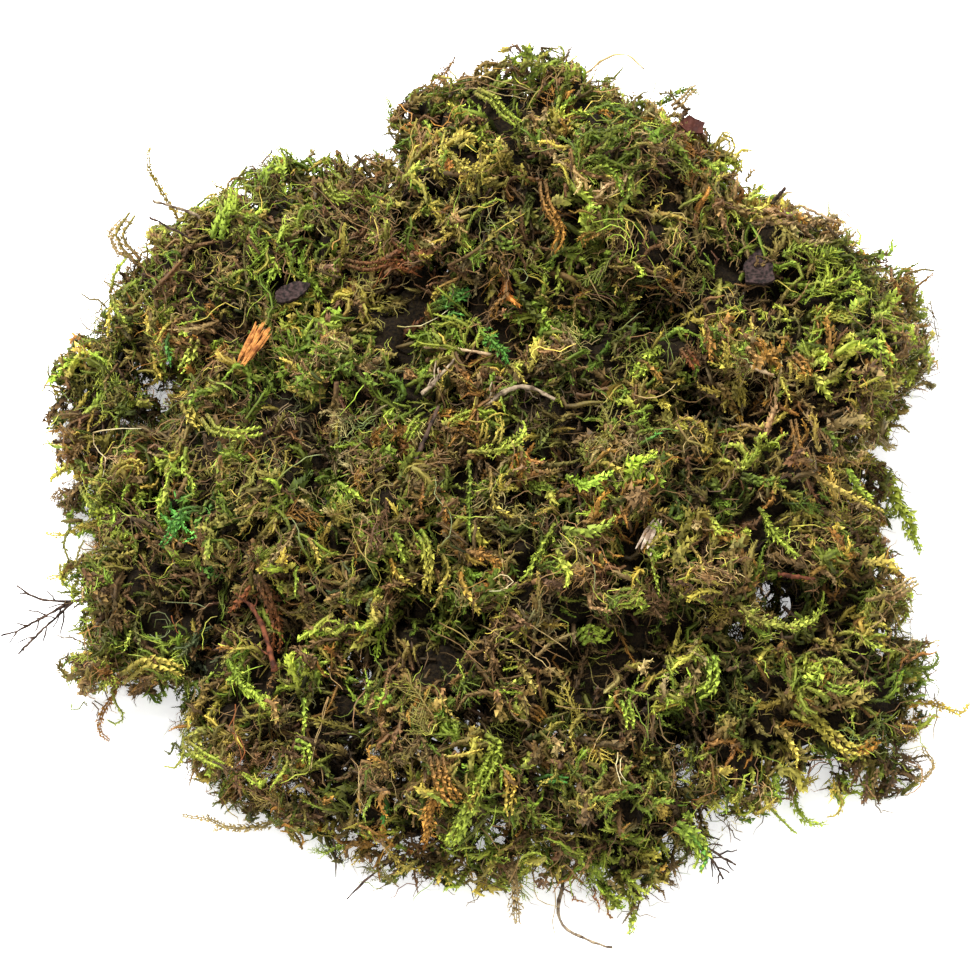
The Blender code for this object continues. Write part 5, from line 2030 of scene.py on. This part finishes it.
@dataclass
class Tufts:
    """The thirteen tufts of the heap, each a felted core, near-black as painted shade, under its shoots."""

    heap: HeapField
    grower: Grower
    tree: ShootTree
    slots: dict[str, str]
    core_depth: float = 6.5 * MM
    core_lumps: float = 2.2 * MM
    core_waves: tuple[Triple, Triple] = ((410.0, 170.0, 260.0), (-150.0, 390.0, 330.0))
    core_floor: float = 0.8 * MM
    core_even: float = 3 * MM

    def cores(self) -> list[bpy.types.Mesh]:
        """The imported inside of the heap, sunk under its skin and shared out among the tufts.

        Returns:
            One mesh for each tuft.
        """
        points, faces = self.heap.skin(-self.core_depth, self.core_floor)
        lump = np.sin(points @ np.array(self.core_waves).T).prod(1)
        _, out = self.heap.read(points)
        points += out * (self.core_lumps * lump * (points[:, 2] > self.core_even))[:, None]
        points[:, 2] = np.maximum(points[:, 2], self.core_floor)
        owner = self.heap.owner(points[faces].mean(1))
        meshes = []
        for number, name in enumerate(self.slots):
            mine = faces[owner == number]
            used, index = np.unique(mine, return_inverse=True)
            mesh = bpy.data.meshes.new(name + "_core")
            mesh.from_pydata(points[used].tolist(), [], index.reshape(mine.shape).tolist())
            meshes.append(mesh)
        return meshes

    def build(self, felt_and_shade: bpy.types.Material) -> None:
        """Grows the shoots and ties each tuft's together.

        Args:
            felt_and_shade: The material of the cores, near-black as painted shade.
        """
        cores = self.cores()
        grown = []
        for habit in Habit:
            strands, owner = self.grower.grow(habit)
            grown.append((strands, owner))
            if habit is Habit.FEATHER:
                dice = np.random.default_rng(self.grower.seed + 5)
                branches = self.grower.branched(strands, dice)
                grown.append((branches, np.tile(owner, len(branches.points) // len(owner))))
            LOG.info("%s: %d shoots", habit.name.lower(), len(owner))
        grown += Traces(self.heap).build()
        finishes = {slot: ShootFinish(slot).make() for slot in dict.fromkeys(self.slots.values())}
        total = 0
        for number, (name, slot) in enumerate(self.slots.items()):
            sets = [strands.chosen(owner == number) for strands, owner in grown]
            sheaf = Sheaf(name.replace("moss_tuft", "moss_shoots"))
            sheaf.add(cores[number], felt_and_shade)
            sheaf.add(self.tree.sprout(name, sets, finishes[slot]), finishes[slot])
            total += stand_in(sheaf.tied(), name)
        LOG.info("tufts: %d triangles", total)


@dataclass(frozen=True)
class Stem:
    """One run of a sprig or twig: its corners in the part's own millimetres, and its radii at both ends."""

    corners: tuple[tuple[float, float, float], ...]
    thick: float
    thin: float


@dataclass(frozen=True)
class Sprig:
    """A loose shoot or stem that sticks out of the heap.

    The first of its stems starts where it leaves the heap. It takes up the share of its CAD stems that its
    reach gives, from the root on.
    """

    node: str
    slot: str
    stems: tuple[Stem, ...]
    root: Tint
    tip: Tint
    leaf: float = 1.7
    barbs: int = 0
    rooted: bool = True
    reach: float = 1.0


SHOOT = (1.25, 0.6)


def stem(thick: float, thin: float, *run: float) -> Stem:
    """A stem, from its radii and a plain row of the numbers of its corners."""
    return Stem(tuple(zip(run[::3], run[1::3], run[2::3])), thick, thin)


def shoot(*run: float) -> tuple[Stem]:
    """The one stem of a plain shoot."""
    return (stem(*SHOOT, *run),)


SPRIGS = (
    Sprig("sprig_back_left_arch", "shoot_green", shoot(-90, 74, 24, -94, 79, 28, -97, 84, 33, -96, 87, 38),
          Tint.BROWN, Tint.YELLOW, 1.2),
    Sprig("sprig_crown_left", "shoot_green", shoot(-29, 103, 48, -33, 106, 51, -34, 109, 56), Tint.OLIVE,
          Tint.LIME, 1.3),
    Sprig("sprig_crown_top", "shoot_green", shoot(50, 110, 48, 56, 112, 52, 62, 114, 54, 65, 111, 55),
          Tint.MID, Tint.GREEN, 1.5),
    Sprig("sprig_right_droop", "shoot_green", (stem(1.6, 1.0, 124, -2, 20, 130, -8, 16, 135, -16, 10,
          139, -24, 4),), Tint.OLIVE, Tint.LIME, 2.3, 6),
    Sprig("sprig_front_right_low", "shoot_green", shoot(90, -112, 5, 91, -118, 4, 95, -123, 3, 99, -122, 3),
          Tint.MID, Tint.LIME, 1.6),
    Sprig("sprig_front_tip", "shoot_green", shoot(42, -154, 6, 41, -159, 5, 43, -164, 4), Tint.OLIVE,
          Tint.LIME, 1.7, reach=0.5),
    Sprig("sprig_left_upper", "shoot_green", shoot(-128, -22, 14, -134, -24, 13, -139, -22, 12), Tint.OLIVE,
          Tint.YELLOW, 1.4),
    Sprig("sprig_left_lower", "shoot_green", shoot(-127, -31, 10, -133, -35, 8, -138, -36, 6), Tint.BROWN,
          Tint.YELLOW, 1.3),
    Sprig("sprig_left_loop", "shoot_tan", shoot(-112, 74, 16, -118, 77, 18, -121, 83, 19, -117, 88, 20,
          -113, 85, 21), Tint.BROWN, Tint.TAN, 1.2),
    Sprig("sprig_crown_right", "shoot_tan", shoot(68, 100, 38, 73, 104, 40, 77, 106, 44), Tint.BROWN,
          Tint.YELLOW, 1.4),
    Sprig("sprig_right_hook", "shoot_tan", shoot(137, -80, 12, 142, -82, 11, 145, -79, 10, 144, -75, 10),
          Tint.ORANGE, Tint.YELLOW, 1.3, reach=0.75),
    Sprig("sprig_front_right_ring", "shoot_tan", shoot(124, -104, 6, 131, -108, 6, 135, -104, 7, 132, -98, 8),
          Tint.BROWN, Tint.TAN, 1.1),
    Sprig("sprig_low_left_long", "shoot_tan", shoot(-70, -122, 6, -78, -122, 5, -86, -119, 4, -94, -117, 3),
          Tint.OLIVE, Tint.TAN, 1.4, 4),
    Sprig("sprig_front_left_hook", "shoot_tan", shoot(-114, -80, 8, -117, -85, 5, -119, -91, 3, -116, -94, 3),
          Tint.BROWN, Tint.ORANGE, 1.3),
    Sprig("frond_dry", "shoot_tan", (stem(2.6, 1.0, -10, -112, 42, -14, -119, 38, -18, -127, 32,
          -19, -133, 26),), Tint.BROWN, Tint.ORANGE, 1.5, 9, rooted=False),
    Sprig("frond_brush", "shoot_tan", (stem(1.2, 3.0, 6, -144, 12, 7, -151, 8, 8, -157, 4),), Tint.BROWN,
          Tint.TAN, 1.2, 8, reach=0.5),
)

TWIGS = (
    Sprig("stem_crown_top", "shoot_tan", (stem(0.7, 0.5, 30, 112, 58, 36, 116, 60, 42, 116, 61,
          47, 112, 59),), Tint.BROWN, Tint.TAN),
    Sprig("twig_left", "twig_dark", (stem(1.0, 0.5, -122, -44, 8, -130, -43, 7, -137, -39, 5, -143, -33, 4),
          stem(0.9, 0.45, -122, -44, 8, -129, -47, 6, -140, -52, 3, -150, -53, 2), stem(0.8, 0.45,
          -122, -44, 8, -130, -51, 5, -137, -58, 3, -141, -64, 2)), Tint.UMBER, Tint.UMBER, 0.0, 5,
          reach=0.8),
    Sprig("twig_grey_fork", "twig_grey", (stem(1.0, 0.6, -20, -4, 62, -15, 2, 62, -9, 9, 63), stem(0.8, 0.5,
          -20, -4, 62, -16, 0, 62, -15, 4, 64)), Tint.TAN, Tint.PALE, 0.0, 1, rooted=False),
    Sprig("twig_front_tangle", "twig_dark", (stem(0.9, 0.5, 63, -128, 8, 70, -133, 7, 77, -136, 5,
          84, -137, 4), stem(0.8, 0.5, 63, -128, 8, 69, -136, 6, 72, -143, 4, 73, -149, 3)), Tint.UMBER,
          Tint.UMBER, 0.0, 6, reach=0.6),
    Sprig("stick_back_left_upper", "twig_grey", (stem(0.9, 0.8, -92, 71, 36, -104, 74, 38),), Tint.BROWN,
          Tint.BROWN, 0.0),
    Sprig("stick_back_left_lower", "twig_dark", (stem(0.8, 0.6, -94, 64, 36, -105, 70, 37),), Tint.UMBER,
          Tint.UMBER, 0.0),
    Sprig("straw_pale", "straw", (stem(0.9, 0.8, -20, 17, 60, -10, 16, 60, 0, 14, 60),), Tint.TAN, Tint.PALE,
          0.0, rooted=False),
    Sprig("straw_stub", "straw", (stem(0.9, 0.9, 76, 8, 66, 84, 5, 65),), Tint.TAN, Tint.PALE, 0.0,
          rooted=False),
    Sprig("straw_back_right", "straw", (stem(0.9, 0.8, 96, 70, 50, 108, 67, 45),), Tint.TAN, Tint.PALE, 0.0,
          rooted=False),
    Sprig("twig_dark", "twig_dark", (stem(1.3, 0.9, -22, -27, 60, -18, -17, 61, -15, -9, 62),), Tint.UMBER,
          Tint.UMBER, 0.0, 1, rooted=False),
    Sprig("twig_lichen", "twig_grey", (stem(1.3, 1.0, -2, -8, 64, 5, -3, 66, 12, -2, 66, 19, -6, 66),),
          Tint.TAN, Tint.PALE, 0.0, 2, rooted=False),
    Sprig("twig_stub", "twig_dark", (stem(1.1, 1.0, 87, 74, 52, 91, 78, 55),), Tint.UMBER, Tint.UMBER, 0.0,
          rooted=False),
    Sprig("root_red_brown", "root_red", (stem(1.7, 0.9, -63, -83, 52, -66, -72, 54, -70, -63, 53,
          -76, -56, 51),), Tint.RUST, Tint.RUST, 0.0, 2, rooted=False),
    Sprig("stick_red", "root_red", (stem(1.1, 0.9, 84, -56, 54, 95, -57, 53),), Tint.RUST, Tint.RUST, 0.0,
          rooted=False),
    Sprig("splinter_front", "twig_dark", (stem(1.3, 0.5, -34, -137, 5, -40, -142, 4, -45, -147, 3),),
          Tint.UMBER, Tint.UMBER, 0.0),
    Sprig("thorn_front", "twig_dark", (stem(0.9, 0.4, -46, -126, 12, -45, -131, 8, -45, -136, 3),),
          Tint.UMBER, Tint.UMBER, 0.0),
    Sprig("stick_front", "twig_grey", (stem(1.0, 0.7, 23, -149, 6, 32, -153, 5, 42, -154, 3),), Tint.BROWN,
          Tint.BROWN, 0.0, reach=0.7),
)


def node_centre(node: str) -> np.ndarray:
    """The middle of a CAD node's box."""
    low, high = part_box(node)
    return (np.array(low) + np.array(high)) / 2


@dataclass
class Litter:
    """The loose sprigs, twigs, straws, bark and wood scraps of the clump."""

    heap: HeapField
    tree: ShootTree
    root_sink: float = 5 * MM
    root_step: float = 2.5 * MM
    root_steps: int = 14
    root_turn: float = 0.55
    root_floor: float = 1.5 * MM
    round_sides: int = 7
    floor: float = 0.5 * MM
    fine: int = 24
    short_corners: int = 5
    points: tuple[int, int] = (20, 14)
    bend: float = 0.25 * MM
    twins: tuple[float, float, float] = (0.0, 0.6, -0.6)
    thick_from: float = 1.5
    twin_shake: float = 0.15 * MM
    leafy_stem: tuple[float, float] = (0.32 * MM, 0.16 * MM)
    bare_stem: tuple[float, float] = (0.62, 0.55)
    barb_reach: tuple[float, float] = (7.0, 5.5)
    curl: float = 0.7 * MM
    flake_cuts: int = 3
    flake_waves: int = 6
    flake_pitch: float = 1400.0
    flake_bays: int = 5
    flake_edge: float = 0.07
    flake_even: float = 3 * MM
    sliver_rings: int = 7
    sliver_ends: tuple[float, float] = (0.6, 1.0)
    sliver_widths: tuple[float, float] = (0.16, 0.3)
    sliver_fan: tuple[float, float] = (0.55, 0.75)
    sliver_wave: float = 0.5 * MM
    sliver_turn: float = 2.2
    sliver_shake: float = 0.35 * MM
    sliver_taper: tuple[float, float, float, float] = (0.04, 0.92, 0.6, 0.08)
    sliver_flat: float = 0.45
    sliver_lift: float = 0.3 * MM
    seed: int = 90
    finishes: dict[str, bpy.types.Material] = field(default_factory=dict)

    def make_finishes(self) -> None:
        """Makes the material of each slot."""
        self.finishes = {finish.name: finish.make() for finish in (
            ShootFinish("shoot_green"),
            ShootFinish("shoot_tan"),
            WoodFinish("twig_dark", (0.012, 0.007, 0.005), (0.085, 0.052, 0.036)),
            WoodFinish("twig_grey", (0.07, 0.045, 0.028), (0.36, 0.28, 0.18)),
            WoodFinish("root_red", (0.035, 0.011, 0.006), (0.17, 0.055, 0.025)),
            WoodFinish("wood_orange", (0.16, 0.05, 0.012), (0.52, 0.22, 0.055), 420.0),
            WoodFinish("wood_pale", (0.22, 0.15, 0.10), (0.56, 0.46, 0.35), 420.0),
            WoodFinish("straw", (0.20, 0.12, 0.055), (0.52, 0.38, 0.22), 420.0),
            WoodFinish("bark", (0.006, 0.004, 0.003), (0.050, 0.030, 0.027), 950.0),
            WoodFinish("leaf_red", (0.035, 0.010, 0.007), (0.11, 0.038, 0.026), 240.0),
        )}

    def runs(self, sprig: Sprig) -> list[np.ndarray]:
        """The sprig's stems where its CAD node lies.

        Args:
            sprig: The sprig.

        Returns:
            The corners of each stem, in metres.
        """
        stems = [np.array(stem.corners, float) * MM for stem in sprig.stems]
        fine = np.concatenate([smooth(corners, self.fine) for corners in stems])
        shift = node_centre(sprig.node) - (fine.min(0) + fine.max(0)) / 2
        if sprig.reach == 1:
            return [corners + shift for corners in stems]
        kept = np.linspace(0, self.fine * sprig.reach, self.short_corners).astype(int)
        return [smooth(corners, self.fine + 1)[kept] + shift for corners in stems]

    def into_heap(self, place: np.ndarray, way: np.ndarray) -> np.ndarray:
        """Points from inside the heap out to where a sprig starts.

        Args:
            place: Its start.
            way: The way it sets off.

        Returns:
            The points, the deepest first, without the start itself.
        """
        found, spot, back = [], place.copy(), -way
        for _ in range(self.root_steps):
            distance, out = self.heap.read(spot[None])
            if distance[0] < -self.root_sink:
                break
            back = unit(back - self.root_turn * out[0])
            spot = spot + self.root_step * back
            spot[2] = max(spot[2], self.root_floor)
            found.append(spot)
        return np.array(found[::-1]).reshape(-1, 3)

    def dress(self, sprig: Sprig, leafy: bool) -> None:
        """Builds one sprig or twig in place of its CAD node.

        Args:
            sprig: The sprig.
            leafy: Whether it carries leaves.
        """
        dice = np.random.default_rng(self.seed + sum(map(ord, sprig.node)))
        sets: list[Strands] = []
        for number, (corners, stem) in enumerate(zip(self.runs(sprig), sprig.stems)):
            root = np.zeros((0, 3))
            if sprig.rooted and number == 0:
                root = self.into_heap(corners[0], unit(corners[1] - corners[0]))
            path = smooth(np.concatenate([root, corners]), self.points[leafy])
            if leafy:
                turned = path + dice.normal(0, self.bend, path.shape)
                for shift in self.twins[: 3 if max(stem.thick, stem.thin) > self.thick_from else 2]:
                    side = np.cross(unit(np.gradient(turned, axis=0)), UP)
                    twin = turned + shift * MM * unit(side) + dice.normal(0, self.twin_shake, path.shape)
                    sets.append(HAND.strand(twin, self.leafy_stem, sprig, True, dice))
            else:
                ends = (stem.thick * self.bare_stem[0] * MM, stem.thin * self.bare_stem[1] * MM)
                sets.append(HAND.strand(path, ends, sprig, False, dice))
            sets += HAND.barbs(path, sprig, self.barb_reach[leafy] * MM, leafy, dice)
        for strands in sets:
            strands.points[:, :, 2] = np.maximum(strands.points[:, :, 2], self.floor)
        sheaf, finish = Sheaf(sprig.node + "_dressed"), self.finishes[sprig.slot]
        sheaf.add(self.tree.sprout(sprig.node, sets, finish), finish)
        stand_in(sheaf.tied(), sprig.node)

    def scrap(self, shell: bmesh.types.BMesh, node: str, slot: str) -> None:
        """Makes a piece of a shell, which is used up, and lets it stand for its CAD node.

        Args:
            shell: The shell.
            node: The node.
            slot: The slot of its finish.
        """
        bmesh.ops.recalc_face_normals(shell, faces=shell.faces)
        mesh = bpy.data.meshes.new(node + "_dressed")
        shell.to_mesh(mesh)
        shell.free()
        mesh.materials.append(self.finishes[slot])
        stand_in(linked(mesh.name, mesh), node)

    def flake(self, node: str, slot: str) -> None:
        """Builds one scrap of bark or leaf: its CAD plate, finer, wavy and curled.

        Args:
            node: The plate's node.
            slot: The slot of its finish.
        """
        shell = merged(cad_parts[node])
        for _ in range(self.flake_cuts):
            bmesh.ops.subdivide_edges(shell, edges=shell.edges, cuts=1, use_grid_fill=True)
        bmesh.ops.triangulate(shell, faces=shell.faces)
        middle = node_centre(node)
        dice = np.random.default_rng(self.seed + len(node))
        ways = dice.normal(size=(self.flake_waves, 3)) * self.flake_pitch
        for vertex in shell.verts:
            place = np.array(vertex.co) - middle
            wave = sum(math.sin(float(way @ place) + number) for number, way in enumerate(ways)) / len(ways)
            reach = min(math.hypot(place[0], place[1]) / self.flake_even, 1)
            bays = math.sin(self.flake_bays * math.atan2(place[1], place[0]))
            edge = 1 + self.flake_edge * bays * reach
            place = place * np.array([edge, edge, 1.0])
            place[2] += self.curl * wave
            vertex.co = Vector(place + middle)
        self.scrap(shell, node, slot)

    def slivers(self, node: str, slot: str, count: int) -> None:
        """Builds one splintered scrap of wood as a fan of thin pointed slivers.

        Args:
            node: The CAD node that it stands for.
            slot: The slot of its finish.
            count: How many slivers.
        """
        dice = np.random.default_rng(self.seed + len(node))
        places = np.array([vertex.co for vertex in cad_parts[node].data.vertices])
        middle = places.mean(0)
        _, _, ways = np.linalg.svd(places - middle, full_matrices=False)
        reach = np.abs((places - middle) @ ways.T).max(0)
        shell = bmesh.new()
        first, span, blunt, least = self.sliver_taper
        for index in range(count):
            fan = (index - (count - 1) / 2) / count
            start, stop = -dice.uniform(*self.sliver_ends), dice.uniform(*self.sliver_ends)
            wide = reach[1] * dice.uniform(*self.sliver_widths)
            rings = []
            for part in np.linspace(0, 1, self.sliver_rings):
                along = (start + (stop - start) * part) * reach[0]
                across = fan * 2 * reach[1] * (self.sliver_fan[0] + self.sliver_fan[1] * part)
                up = self.sliver_wave * math.sin(self.sliver_turn * part + index)
                up += self.sliver_shake * dice.normal()
                size = max(math.sin(math.pi * (first + span * part)) ** blunt, least)
                ring = []
                for side, rise in ((1, 0.0), (0, self.sliver_flat), (-1, 0.0), (0, -self.sliver_flat)):
                    spot = middle + along * ways[0] + (across + side * wide * size) * ways[1]
                    spot = spot + (up + rise * wide * size + self.sliver_lift * (index % 3)) * ways[2]
                    ring.append(shell.verts.new(Vector(spot)))
                rings.append(ring)
            for low, high in zip(rings, rings[1:]):
                for side in range(4):
                    after = (side + 1) % 4
                    shell.faces.new((low[side], low[after], high[after], high[side]))
            shell.faces.new(rings[0][::-1])
            shell.faces.new(rings[-1])
        self.scrap(shell, node, slot)

    def build(self) -> None:
        """Builds every sprig, twig and scrap."""
        self.make_finishes()
        self.tree.sides = self.round_sides
        for sprigs, leafy in ((SPRIGS, True), (TWIGS, False)):
            for sprig in sprigs:
                self.dress(sprig, leafy)
        for node, slot in (("bark_flake", "bark"), ("bark_dark", "bark"), ("leaf_scrap_red", "leaf_red")):
            self.flake(node, slot)
        self.slivers("wood_splinter_orange", "wood_orange", 8)
        self.slivers("wood_chip_pale", "wood_pale", 4)


def main() -> None:
    """Builds the scene."""
    logging.basicConfig(level=logging.INFO, format="%(message)s")
    view = PhotoView()
    view.place()
    Studio().build()
    slots = {
        "moss_tuft_" + name: "moss_" + finish
        for finish, names in (
            ("green", ("crown", "back_left", "back_right", "front_right")),
            ("olive", ("front_left", "low_left", "centre", "middle", "right", "low_right")),
            ("brown", ("left_edge", "left", "front")),
        )
        for name in names
    }
    heap = HeapField(view)
    heap.build([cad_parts[name] for name in slots])
    for swell in SWELLS:
        heap.swell(*swell)
    heap.trim(OUTLINE)
    for dent in DENTS:
        heap.dent(*dent)
    LOG.info("heap field: %s cells", heap.grid.shape[:3])
    tree = ShootTree()
    tree.build()
    Tufts(heap, Grower(heap, TintMap(view)), tree, slots).build(FeltAndShadeFinish("moss_felt").make())
    Litter(heap, tree).build()
    bpy.data.objects.remove(tree.leaf)


if __name__ == "__main__":
    main()
